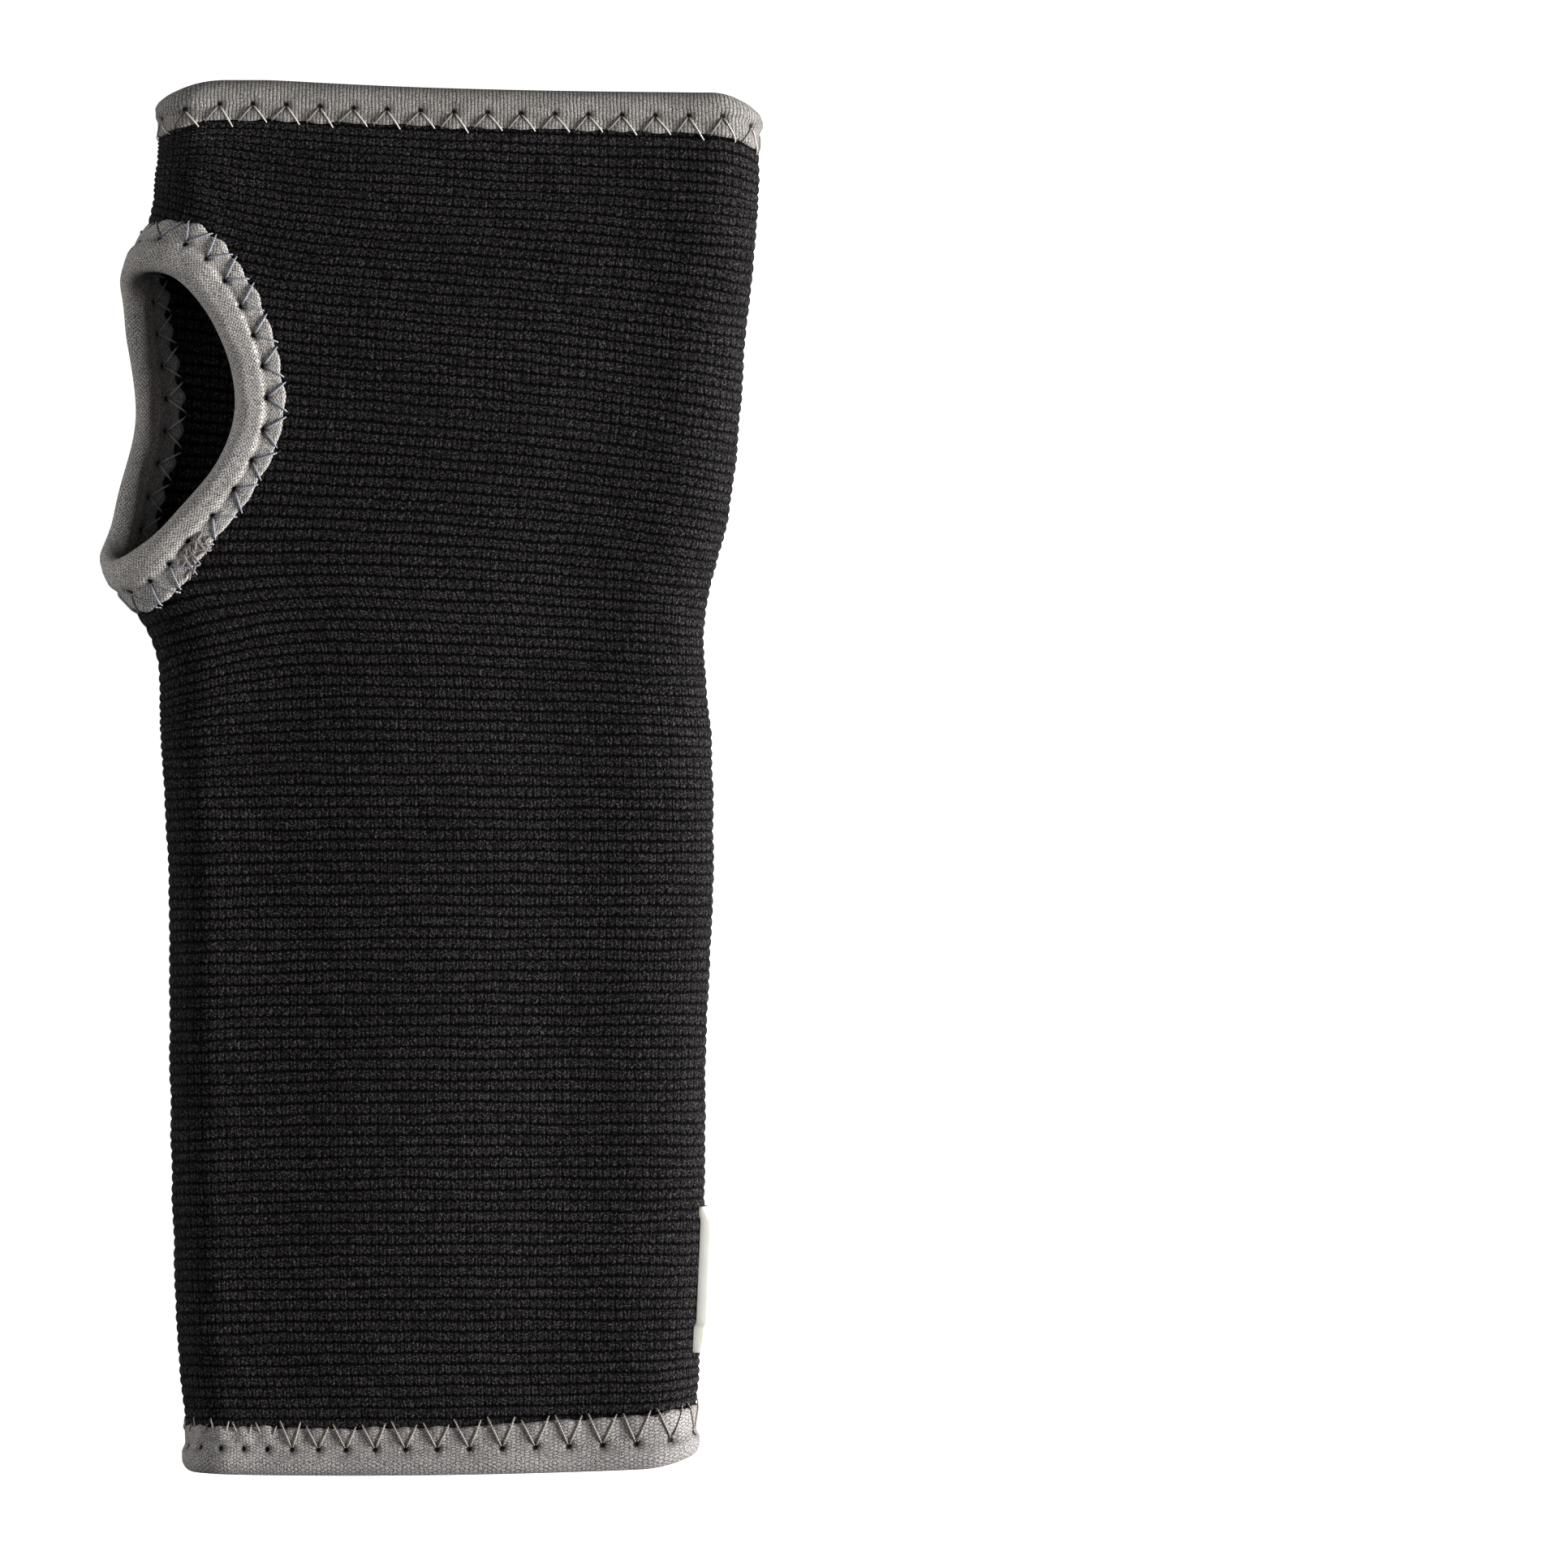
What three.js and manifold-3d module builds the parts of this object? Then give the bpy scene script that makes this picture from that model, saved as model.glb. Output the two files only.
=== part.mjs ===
// Pull-on wrist support sleeve: a ribbed knit tube with a thumb hole, bound with folded tape.
// Millimetres. It lies on its back: +Y points to the fingers, -X to the thumb, +Z up.

import * as THREE from 'three';
import { ParametricGeometry } from 'three/addons/geometries/ParametricGeometry.js';
import { mergeVertices } from 'three/addons/utils/BufferGeometryUtils.js';
import Module from 'manifold-3d';

// Wall and binding sizes
const KNIT_WALL = 2.0;
const TAPE_LEG = 0.95;
const SEAT_GAP = 0.3;
const CUT_GAP = 0.6;
const TAPE_PROUD = TAPE_LEG + SEAT_GAP;
const CROWN_WALL = 1.0;
const CROWN_CHAMFER = 1.4;
const THUMB_TAPE = 7.6;
const END_LEG_STEPS = 1;
const THUMB_LEG_STEPS = 3;

// Finished ends: the tape's width, the peak's distance from the middle and its place across, how the edge
// falls away from the peak on both sides, how it slumps on the little-finger side, and how its corners drop
const HAND_END = {
  side: 1, tape: 6.2, peak: 103, across: -25.5, fall: 0, slump: { drop: 2.0, reach: 25 },
  thumbCorner: { drop: 2.6, reach: 10 }, fingerCorner: { drop: 2.2, reach: 6.5 },
};
const FOREARM_END = {
  side: -1, tape: 7.3, peak: 103, across: -12, fall: 0.0005, slump: { drop: 0, reach: 25 },
  thumbCorner: { drop: 0.1, reach: 11 }, fingerCorner: { drop: 1.3, reach: 8 },
};
const SLUMP_START = 6;
const END_BLEND = 26;
const LIFT_LENGTH = 4.0;

// Flat sections of the tube along its length: where each lies, its two folds, its height, how far each fold
// rounds in, how far the upper layer domes between the folds, and how far the tape of the thumb hole lifts
// the under layer beside the thumb-side fold
const SECTION_COLUMNS = [
  'along', 'left', 'right', 'height', 'leftRound', 'rightRound', 'dome', 'thumbLift',
];
const SECTIONS = [
  [-103.0, -36.3, 38.6, 13.6, 6.5, 7.0, 0.4, 0.0],
  [-95.7, -36.5, 38.9, 14.0, 6.5, 7.5, 0.6, 0.0],
  [-91.0, -37.1, 39.3, 14.8, 7.0, 9.5, 0.8, 0.0],
  [-84.0, -37.7, 39.4, 15.0, 7.0, 12.0, 1.1, 0.0],
  [-62.0, -38.5, 40.2, 15.4, 7.0, 14.0, 1.3, 0.0],
  [-40.0, -38.9, 40.4, 15.6, 7.0, 14.0, 1.4, 0.0],
  [-14.0, -39.1, 41.5, 15.4, 7.0, 14.0, 1.4, 0.0],
  [7.0, -40.3, 41.1, 15.0, 7.5, 13.0, 1.4, 0.0],
  [18.0, -40.9, 40.1, 15.0, 9.0, 12.0, 1.3, 0.0],
  [23.0, -42.9, 40.2, 15.2, 12.0, 11.5, 1.2, 0.4],
  [28.0, -46.7, 41.0, 15.6, 15.5, 11.0, 1.1, 1.0],
  [33.0, -48.8, 42.3, 15.8, 17.2, 11.0, 1.1, 1.5],
  [38.0, -48.5, 43.6, 16.0, 18.6, 10.5, 1.1, 1.8],
  [53.0, -46.6, 45.4, 16.4, 20.2, 10.0, 0.9, 2.0],
  [68.0, -46.2, 46.5, 16.4, 18.2, 10.0, 0.9, 1.8],
  [76.0, -45.0, 47.5, 16.2, 14.0, 9.5, 0.9, 1.2],
  [83.0, -41.9, 47.9, 15.8, 9.0, 9.5, 0.8, 0.3],
  [91.0, -41.0, 48.3, 15.0, 7.0, 8.5, 0.7, 0.0],
  [96.8, -40.5, 48.1, 14.0, 6.5, 7.0, 0.6, 0.0],
  [103.0, -40.3, 47.9, 13.6, 6.5, 7.0, 0.4, 0.0],
];

// Finished rim of the thumb hole on the tube's surface: distance around from the thumb-side fold, over the
// upper layer, and place along the tube
const THUMB_RIM = [
  { around: 5.4, along: 74.7 },
  { around: 11.0, along: 73.9 },
  { around: 16.4, along: 69.2 },
  { around: 20.2, along: 62.2 },
  { around: 21.4, along: 54.0 },
  { around: 19.6, along: 46.6 },
  { around: 15.2, along: 40.2 },
  { around: 10.0, along: 34.7 },
  { around: 3.4, along: 32.1 },
  { around: -1.8, along: 34.8 },
  { around: -3.6, along: 43.4 },
  { around: -4.8, along: 53.0 },
  { around: -3.2, along: 64.0 },
  { around: -0.6, along: 72.1 },
];
const RIM_STEPS = 52;
const RIM_SAMPLES = 240;
const PLUG_RINGS = 3;
const PLUG_REACH = 3.5;

// Label: the stretch of the little-finger fold it lies on, its two long edges around the fold, its thickness,
// and the height and width of its rim
const LABEL = {
  from: -85.0,
  to: -63.3,
  above: 3.1,
  below: 4.2,
  thick: 1.5,
  rim: 0.3,
  rimWidth: 1.5,
};

// Rows along the knit: close where the thumb hole is, wide elsewhere
const ROWS = [
  { from: -88, to: 14, step: 10 },
  { from: 18, to: 34, step: 2.2 },
  { from: 38, to: 69, step: 4 },
  { from: 72, to: 86, step: 2.3 },
];

// How far the level layer's direction is carried into a fold, as a share of the fold's rounding
const FOLD_LEVELLING = 0.55;

// Stretch of the under layer over which it rises to the thumb hole
const THUMB_LIFT_REACH = 14;

// Distance over which the face's slope is measured, and under which points are one
const SLOPE_STEP = 0.05;
const WELD = 1e-5;

// Columns around the section, from the thumb-side fold over the upper layer and back underneath
const COLUMNS = { thumbUpper: 10, upper: 8, fingerFold: 8, rest: 5, rise: 4, thumbUnder: 8 };

const COLOURS = { knit: 0x202020, tape: 0x7d7974, label: 0xd8d6cd };

const wasm = await Module();
wasm.setup();

const { clamp, euclideanModulo, lerp, smoothstep } = THREE.MathUtils;

function spaced(from, to, steps) {
  return Array.from({ length: steps + 1 }, (_, index) => lerp(from, to, index / steps));
}

// Smooth values of the section table at any place along the tube
const sectionPlaces = SECTIONS.map(([along]) => along);
const sectionValues = SECTIONS.flatMap(([, ...values]) => values);
const sectionTable = new THREE.CubicInterpolant(sectionPlaces, sectionValues, SECTION_COLUMNS.length - 1);

function sectionSizes(along) {
  const values = sectionTable.evaluate(clamp(along, sectionPlaces[0], sectionPlaces.at(-1)));
  return Object.fromEntries(SECTION_COLUMNS.slice(1).map((column, index) => [column, values[index]]));
}

function nearestEnd(along) {
  return along > 0 ? HAND_END : FOREARM_END;
}

// The tape under each end lifts the knit off the surface by its own thickness
function liftAt(along) {
  const end = nearestEnd(along);
  const clear = end.peak - end.tape - Math.abs(along);
  return TAPE_PROUD * (1 - smoothstep(clear, SEAT_GAP, LIFT_LENGTH));
}

// Quarter of a fold: from its tip, as round as half the tube's height, to where the layer runs level
function foldQuarter(tipX, levelX, middle, levelZ) {
  const round = levelX - tipX;
  const rise = levelZ - middle;
  const tipPull = Math.sqrt((2 / 3) * (1 - FOLD_LEVELLING) * Math.abs(round * rise)) * Math.sign(rise);
  return [
    new THREE.Vector2(tipX, middle),
    new THREE.Vector2(tipX, middle + tipPull),
    new THREE.Vector2(levelX - FOLD_LEVELLING * round, levelZ),
    new THREE.Vector2(levelX, levelZ),
  ];
}

// Half of the upper layer, level where it leaves a fold and level at its lowest place between the folds
function layerHalf(foldX, foldZ, lowX, lowZ) {
  const middleX = (foldX + lowX) / 2;
  return [
    new THREE.Vector2(foldX, foldZ),
    new THREE.Vector2(middleX, foldZ),
    new THREE.Vector2(middleX, lowZ),
    new THREE.Vector2(lowX, lowZ),
  ];
}

// Outline of the knit's outer face across the tube, clockwise from the thumb-side fold over the top
const sectionCache = new Map();

function sectionAt(along) {
  if (sectionCache.has(along)) {
    return sectionCache.get(along);
  }
  const size = sectionSizes(along);
  const lift = liftAt(along);
  const middle = lift + size.height / 2;
  const top = lift + size.height;
  const crest = top + size.dome;
  const start = size.left + size.leftRound;
  const end = size.right - size.rightRound;
  const centre = (start + end) / 2;
  const restEnd = start + THUMB_LIFT_REACH;
  const lifted = lift + Math.max(0, size.thumbLift);

  const stretches = {
    thumbUpper: foldQuarter(size.left, start, middle, top),
    upperThumbHalf: layerHalf(start, top, centre, crest),
    upperFingerHalf: layerHalf(end, top, centre, crest).reverse(),
    fingerUpper: foldQuarter(size.right, end, middle, top).reverse(),
    fingerUnder: foldQuarter(size.right, end, middle, lift),
    rest: layerHalf(end, lift, restEnd, lift),
    rise: layerHalf(restEnd, lift, start, lifted),
    thumbUnder: foldQuarter(size.left, start, middle, lifted).reverse(),
  };
  const outline = [];
  const endOf = {};
  let length = 0;
  Object.entries(stretches).forEach(([name, points]) => {
    const curve = new THREE.CubicBezierCurve(...points);
    length += curve.getLength();
    endOf[name] = length;
    outline.push({ curve, end: length });
  });
  const section = { outline, endOf, length, size };
  sectionCache.set(along, section);
  return section;
}

function outlinePoint({ outline, length }, around) {
  const distance = euclideanModulo(around, length);
  const { curve, end } = outline.find((stretch) => stretch.end >= distance);
  const share = 1 - (end - distance) / curve.getLength();
  return curve.getPointAt(clamp(share, 0, 1));
}

// How far an end edge lies back from its peak at a place across the tube
function edgeFall(end, x, size) {
  const cornerFall = ({ drop, reach }, toFold) => drop * Math.max(0, 1 - Math.max(0, toFold) / reach) ** 2;
  const corners = cornerFall(end.thumbCorner, x - size.left) + cornerFall(end.fingerCorner, size.right - x);
  const toFingers = Math.max(0, x - end.across);
  const slumpRun = toFingers ** 2 / (toFingers + SLUMP_START);
  const slump = end.slump.drop * (1 - Math.exp(-slumpRun / end.slump.reach));
  return end.fall * (x - end.across) ** 2 + slump + corners;
}

// A point of the knit's outer face: a row along the tube and a distance around from the thumb-side fold
function facePoint(along, around) {
  const section = sectionAt(along);
  const place = outlinePoint(section, around);
  const end = nearestEnd(along);
  const blend = smoothstep(Math.abs(along), end.peak - END_BLEND, end.peak);
  const y = along - end.side * blend * edgeFall(end, place.x, section.size);
  return new THREE.Vector3(place.x, y, place.y);
}

// A point of the wall at a depth under the outer face, square to that face
function wallPoint(along, around, depth, target) {
  const headingAround = facePoint(along, around + SLOPE_STEP).sub(facePoint(along, around - SLOPE_STEP));
  const headingAlong = facePoint(along + SLOPE_STEP, around).sub(facePoint(along - SLOPE_STEP, around));
  const outward = headingAround.cross(headingAlong).normalize();
  return target.copy(facePoint(along, around)).addScaledVector(outward, -depth);
}

// A closed ring of wall points, with one closed loop of stations for each column
function ringGeometry(columns, stationsPerColumn, pointAt) {
  const geometry = new ParametricGeometry(
    (u, v, target) => {
      const column = Math.round(u * columns) % columns;
      const station = Math.round(v * stationsPerColumn) % stationsPerColumn;
      pointAt(column, station, target);
    },
    columns,
    stationsPerColumn,
  );
  return welded(geometry);
}

function welded(geometry) {
  geometry.deleteAttribute('normal');
  geometry.deleteAttribute('uv');
  return mergeVertices(geometry, WELD);
}

// Distances around the section for the columns, with the same count on each stretch of the outline
function columnPlaces(along) {
  const { endOf, length } = sectionAt(along);
  const stretches = [
    [0, endOf.thumbUpper, COLUMNS.thumbUpper],
    [endOf.thumbUpper, endOf.upperFingerHalf, COLUMNS.upper],
    [endOf.upperFingerHalf, endOf.fingerUnder, COLUMNS.fingerFold],
    [endOf.fingerUnder, endOf.rest, COLUMNS.rest],
    [endOf.rest, endOf.rise, COLUMNS.rise],
    [endOf.rise, length, COLUMNS.thumbUnder],
  ];
  return stretches.flatMap(([from, to, count]) => spaced(from, to, count).slice(0, -1));
}
const COLUMN_COUNT = Object.values(COLUMNS).reduce((sum, count) => sum + count, 0);

// Section of a folded tape: distance in from the finished edge, and depth under the knit's outer face
function tapeProfile(width, legSteps) {
  const outer = -TAPE_PROUD;
  const inner = KNIT_WALL + TAPE_PROUD;
  const leg = (from, to, depth) => spaced(from, to, legSteps).map((inward) => ({ inward, depth }));
  return [
    ...leg(width, CROWN_CHAMFER, outer),
    { inward: 0, depth: outer + CROWN_CHAMFER },
    { inward: 0, depth: inner - CROWN_CHAMFER },
    ...leg(CROWN_CHAMFER, width, inner),
    ...leg(width, CROWN_WALL, inner - TAPE_LEG),
    ...leg(CROWN_WALL, width, outer + TAPE_LEG),
  ];
}
const KNIT_SET_BACK = CROWN_WALL + CUT_GAP;

// Rows of the knit from the forearm end to the hand end
function knitRows() {
  const nearEnd = ({ side, peak, tape }) =>
    [KNIT_SET_BACK, tape, tape + LIFT_LENGTH / 2, tape + LIFT_LENGTH].map((inset) => side * (peak - inset));
  const between = ROWS.flatMap(({ from, to, step }) => spaced(from, to, Math.round((to - from) / step)));
  return [...nearEnd(FOREARM_END), ...between, ...nearEnd(HAND_END).reverse()];
}

function tubeGeometry() {
  const rows = knitRows();
  const stations = [
    ...rows.map((along) => ({ along, depth: 0 })),
    ...rows.toReversed().map((along) => ({ along, depth: KNIT_WALL })),
  ];
  return ringGeometry(COLUMN_COUNT, stations.length, (column, station, target) => {
    const { along, depth } = stations[station];
    wallPoint(along, columnPlaces(along)[column], depth, target);
  });
}

// Finished rim of the thumb hole as a closed curve on the tube's surface
const rimCurve = new THREE.CatmullRomCurve3(
  THUMB_RIM.map(({ around, along }) => new THREE.Vector3(around, along, 0)), true, 'centripetal',
);

function rimOffset(share, inward) {
  const heading = rimCurve.getTangentAt(share);
  return rimCurve.getPointAt(share).add(new THREE.Vector3(-heading.y, heading.x, 0).multiplyScalar(inward));
}

// Places on the rim, as shares of its length, evenly apart on the knit-side edge of the tape
const tapeEdge = new THREE.CatmullRomCurve3(
  spaced(0, 1, RIM_SAMPLES).slice(0, -1).map((share) => rimOffset(share, THUMB_TAPE)), true,
);
const rimShares = spaced(0, 1, RIM_STEPS).slice(0, -1).map((share) => tapeEdge.getUtoTmapping(share));

// Solid that fills the thumb hole through the wall, out to the knit's cut edge
function thumbPlugGeometry() {
  const centre = new THREE.Vector3();
  rimShares.forEach((share) => centre.addScaledVector(rimOffset(share, 0), 1 / RIM_STEPS));
  const rings = spaced(0, 1, PLUG_RINGS);
  const stations = [
    ...rings.map((share) => ({ share, depth: -PLUG_REACH })),
    ...rings.toReversed().map((share) => ({ share, depth: KNIT_WALL + PLUG_REACH })),
  ];
  const geometry = new ParametricGeometry(
    (u, v, target) => {
      const { share, depth } = stations[Math.round(v * (stations.length - 1))];
      const edge = rimOffset(rimShares[Math.round(u * RIM_STEPS) % RIM_STEPS], KNIT_SET_BACK);
      const place = centre.clone().lerp(edge, share);
      wallPoint(place.y, place.x, depth, target);
    },
    RIM_STEPS,
    stations.length - 1,
  );
  return welded(geometry);
}

function endTapeGeometry(end) {
  const profile = tapeProfile(end.tape, END_LEG_STEPS);
  if (end.side < 0) {
    profile.reverse();
  }
  return ringGeometry(COLUMN_COUNT, profile.length, (column, station, target) => {
    const { inward, depth } = profile[station];
    const along = end.side * (end.peak - inward);
    wallPoint(along, columnPlaces(along)[column], depth, target);
  });
}

function thumbTapeGeometry() {
  const profile = tapeProfile(THUMB_TAPE, THUMB_LEG_STEPS).reverse();
  return ringGeometry(RIM_STEPS, profile.length, (column, station, target) => {
    const { inward, depth } = profile[station];
    const place = rimOffset(rimShares[column], inward);
    wallPoint(place.y, place.x, depth, target);
  });
}

// Patch that hugs the little-finger fold, with a raised rim round its face
function labelGeometry() {
  const { from, to, above, below, thick, rim, rimWidth } = LABEL;
  const length = to - from;
  const across = above + below;
  const [alongSteps, acrossSteps] = [length, across].map((size) => Math.round(size / rimWidth));
  const geometry = new THREE.BoxGeometry(length, across, thick, alongSteps, acrossSteps, 1);
  const position = geometry.getAttribute('position');
  const place = new THREE.Vector3();
  for (let index = 0; index < position.count; index += 1) {
    place.fromBufferAttribute(position, index);
    const toEdge = Math.min(length / 2 - Math.abs(place.x), across / 2 - Math.abs(place.y));
    const along = (from + to) / 2 + place.x;
    const around = sectionAt(along).endOf.fingerUpper + (below - above) / 2 - place.y;
    const insideRim = place.z > 0 && toEdge > 1.5 * rimWidth;
    const depth = (insideRim ? rim : 0) - SEAT_GAP - thick / 2 - place.z;
    wallPoint(along, around, depth, place);
    position.setXYZ(index, place.x, place.y, place.z);
  }
  return welded(geometry);
}

function solidOf(geometry) {
  const vertProperties = new Float32Array(geometry.getAttribute('position').array);
  const triVerts = new Uint32Array(geometry.getIndex().array);
  return new wasm.Manifold(new wasm.Mesh({ numProp: 3, vertProperties, triVerts }));
}

function geometryOf(solid) {
  const mesh = solid.getMesh();
  const geometry = new THREE.BufferGeometry();
  geometry.setAttribute('position', new THREE.BufferAttribute(mesh.vertProperties, 3));
  geometry.setIndex(new THREE.BufferAttribute(mesh.triVerts, 1));
  geometry.computeVertexNormals();
  return geometry;
}

function piece(name, geometry, colour, roughness) {
  const material = new THREE.MeshStandardMaterial({ color: colour, roughness, metalness: 0 });
  const mesh = new THREE.Mesh(geometry, material);
  mesh.name = name;
  return mesh;
}

const knitWithHole = solidOf(tubeGeometry()).subtract(solidOf(thumbPlugGeometry()));

const wristSleeve = new THREE.Group();
wristSleeve.name = 'wrist_sleeve';
wristSleeve.add(
  piece('sleeve', geometryOf(knitWithHole), COLOURS.knit, 0.95),
  piece('hand_binding', endTapeGeometry(HAND_END), COLOURS.tape, 0.85),
  piece('thumb_binding', thumbTapeGeometry(), COLOURS.tape, 0.85),
  piece('forearm_binding', endTapeGeometry(FOREARM_END), COLOURS.tape, 0.85),
  piece('label', labelGeometry(), COLOURS.label, 0.45),
);

export default wristSleeve;
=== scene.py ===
"""Looks of a pull-on knitted wrist support sleeve with a thumb hole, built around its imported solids."""

import logging
import math
from abc import ABC, abstractmethod
from collections.abc import Callable
from dataclasses import dataclass, replace
from enum import Enum
from typing import NamedTuple

import bpy
import numpy as np
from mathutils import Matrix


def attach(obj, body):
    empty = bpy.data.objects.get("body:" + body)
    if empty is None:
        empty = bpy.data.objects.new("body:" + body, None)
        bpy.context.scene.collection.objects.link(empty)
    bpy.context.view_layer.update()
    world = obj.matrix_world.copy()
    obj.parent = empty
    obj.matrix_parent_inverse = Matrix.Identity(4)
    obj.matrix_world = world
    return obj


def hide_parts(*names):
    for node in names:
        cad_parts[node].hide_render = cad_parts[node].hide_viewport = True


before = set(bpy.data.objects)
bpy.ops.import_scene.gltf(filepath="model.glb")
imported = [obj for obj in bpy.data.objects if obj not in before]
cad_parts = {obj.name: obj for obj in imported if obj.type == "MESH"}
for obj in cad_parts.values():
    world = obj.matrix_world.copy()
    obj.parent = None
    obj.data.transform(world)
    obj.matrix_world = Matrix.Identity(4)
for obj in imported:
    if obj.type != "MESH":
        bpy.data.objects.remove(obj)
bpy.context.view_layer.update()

Array = np.ndarray
Colour = tuple[float, float, float]
Span = tuple[float, float]
Thread = tuple[Array, Array, Array]

log = logging.getLogger("wrist_sleeve")

# Wall and binding sizes, in metres
KNIT_WALL = 0.0020
TAPE_PROUD = 0.00125
SEAT_GAP = 0.0003
CUT_SET_BACK = 0.0016
THUMB_TAPE = 0.0076
END_BLEND = 0.026
LIFT_LENGTH = 0.004
FOLD_LEVELLING = 0.55
THUMB_LIFT_REACH = 0.014

BODY = "root"
WHOLE_TURN = 2.0 * math.pi


class Section(NamedTuple):
    """A flat section of the tube: its place, its two folds, height, fold roundings, dome and lift."""

    along: float
    left: float
    right: float
    height: float
    left_round: float
    right_round: float
    dome: float
    thumb_lift: float


SECTIONS = (
    Section(-0.1030, -0.0363, 0.0386, 0.0136, 0.0065, 0.0070, 0.0004, 0.0),
    Section(-0.0957, -0.0365, 0.0389, 0.0140, 0.0065, 0.0075, 0.0006, 0.0),
    Section(-0.0910, -0.0371, 0.0393, 0.0148, 0.0070, 0.0095, 0.0008, 0.0),
    Section(-0.0840, -0.0377, 0.0394, 0.0150, 0.0070, 0.0120, 0.0011, 0.0),
    Section(-0.0620, -0.0385, 0.0402, 0.0154, 0.0070, 0.0140, 0.0013, 0.0),
    Section(-0.0400, -0.0389, 0.0404, 0.0156, 0.0070, 0.0140, 0.0014, 0.0),
    Section(-0.0140, -0.0391, 0.0415, 0.0154, 0.0070, 0.0140, 0.0014, 0.0),
    Section(0.0070, -0.0403, 0.0411, 0.0150, 0.0075, 0.0130, 0.0014, 0.0),
    Section(0.0180, -0.0409, 0.0401, 0.0150, 0.0090, 0.0120, 0.0013, 0.0),
    Section(0.0230, -0.0429, 0.0402, 0.0152, 0.0120, 0.0115, 0.0012, 0.0004),
    Section(0.0280, -0.0467, 0.0410, 0.0156, 0.0155, 0.0110, 0.0011, 0.0010),
    Section(0.0330, -0.0488, 0.0423, 0.0158, 0.0172, 0.0110, 0.0011, 0.0015),
    Section(0.0380, -0.0485, 0.0436, 0.0160, 0.0186, 0.0105, 0.0011, 0.0018),
    Section(0.0530, -0.0466, 0.0454, 0.0164, 0.0202, 0.0100, 0.0009, 0.0020),
    Section(0.0680, -0.0462, 0.0465, 0.0164, 0.0182, 0.0100, 0.0009, 0.0018),
    Section(0.0760, -0.0450, 0.0475, 0.0162, 0.0140, 0.0095, 0.0009, 0.0012),
    Section(0.0830, -0.0419, 0.0479, 0.0158, 0.0090, 0.0095, 0.0008, 0.0003),
    Section(0.0910, -0.0410, 0.0483, 0.0150, 0.0070, 0.0085, 0.0007, 0.0),
    Section(0.0968, -0.0405, 0.0481, 0.0140, 0.0065, 0.0070, 0.0006, 0.0),
    Section(0.1030, -0.0403, 0.0479, 0.0136, 0.0065, 0.0070, 0.0004, 0.0),
)


class Drop(NamedTuple):
    """How far a stretch of an end edge drops back, and over what distance."""

    drop: float
    reach: float


@dataclass(frozen=True)
class TubeEnd:
    """A bound end of the tube: its tape, and how its edge falls away from its peak."""

    side: int
    tape: float
    peak: float
    across: float
    fall: float
    slump: Drop
    thumb_corner: Drop
    finger_corner: Drop


HAND_END = TubeEnd(
    side=1, tape=0.0062, peak=0.103, across=-0.0255, fall=0.0,
    slump=Drop(0.0020, 0.025), thumb_corner=Drop(0.0026, 0.010), finger_corner=Drop(0.0022, 0.0065),
)
FOREARM_END = TubeEnd(
    side=-1, tape=0.0073, peak=0.103, across=-0.012, fall=0.5,
    slump=Drop(0.0, 0.025), thumb_corner=Drop(0.0001, 0.011), finger_corner=Drop(0.0013, 0.008),
)
SLUMP_START = 0.006

# Finished rim of the thumb hole: distance around from the thumb-side fold, and place along the tube
THUMB_RIM = (
    (0.0054, 0.0747),
    (0.0110, 0.0739),
    (0.0164, 0.0692),
    (0.0202, 0.0622),
    (0.0214, 0.0540),
    (0.0196, 0.0466),
    (0.0152, 0.0402),
    (0.0100, 0.0347),
    (0.0034, 0.0321),
    (-0.0018, 0.0348),
    (-0.0036, 0.0434),
    (-0.0048, 0.0530),
    (-0.0032, 0.0640),
    (-0.0006, 0.0721),
)


def smoothstep(value: Array, low: float, high: float) -> Array:
    """Ease from 0 at low to 1 at high.

    Args:
        value: Numbers to ease.
        low: Where the step begins.
        high: Where the step ends.

    Returns:
        The eased numbers, from 0 to 1.
    """
    share = np.clip((value - low) / (high - low), 0.0, 1.0)
    return share * share * (3.0 - 2.0 * share)


def bezier(points: list[Span], steps: int) -> Array:
    """Sample a cubic curve.

    Args:
        points: Its four control points.
        steps: How many spans to cut it into.

    Returns:
        The points of the curve, both ends included.
    """
    share = np.linspace(0.0, 1.0, steps + 1)[:, None]
    first, second, third, last = (np.array(point) for point in points)
    rest = 1.0 - share
    return rest**3 * first + 3 * rest**2 * share * second + 3 * rest * share**2 * third + share**3 * last


def join(start: Array, end: Array, leave: Array, arrive: Array, share: Array | float) -> Array:
    """Run smoothly from one point to another.

    Args:
        start: The first point.
        end: The last point.
        leave: The run's slope at its start.
        arrive: Its slope at its end.
        share: How far along it to read, from 0 to 1.

    Returns:
        The points there.
    """
    cubic = 2 * share**3 - 3 * share**2
    straight = start * (cubic + 1) - end * cubic
    return straight + leave * (share**3 - 2 * share**2 + share) + arrive * (share**3 - share**2)


def distances_along(line: Array) -> Array:
    """Give the distance along a line to each of its points."""
    return np.concatenate([[0.0], np.cumsum(np.linalg.norm(np.diff(line, axis=0), axis=1))])


def wander(place: Array, seed: int, waves: tuple[int, ...]) -> Array:
    """Make a smooth uneven wave that closes on itself.

    Args:
        place: Where to read it, from 0 to 1 round the loop.
        seed: Which of the waves to give.
        waves: How often each of its parts repeats round the loop.

    Returns:
        Numbers of about -1 to 1.
    """
    phases = np.random.default_rng(seed).uniform(0.0, WHOLE_TURN, len(waves))
    total = sum(np.sin(WHOLE_TURN * wave * place + phase) for wave, phase in zip(waves, phases))
    return total / math.sqrt(len(waves))


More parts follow.
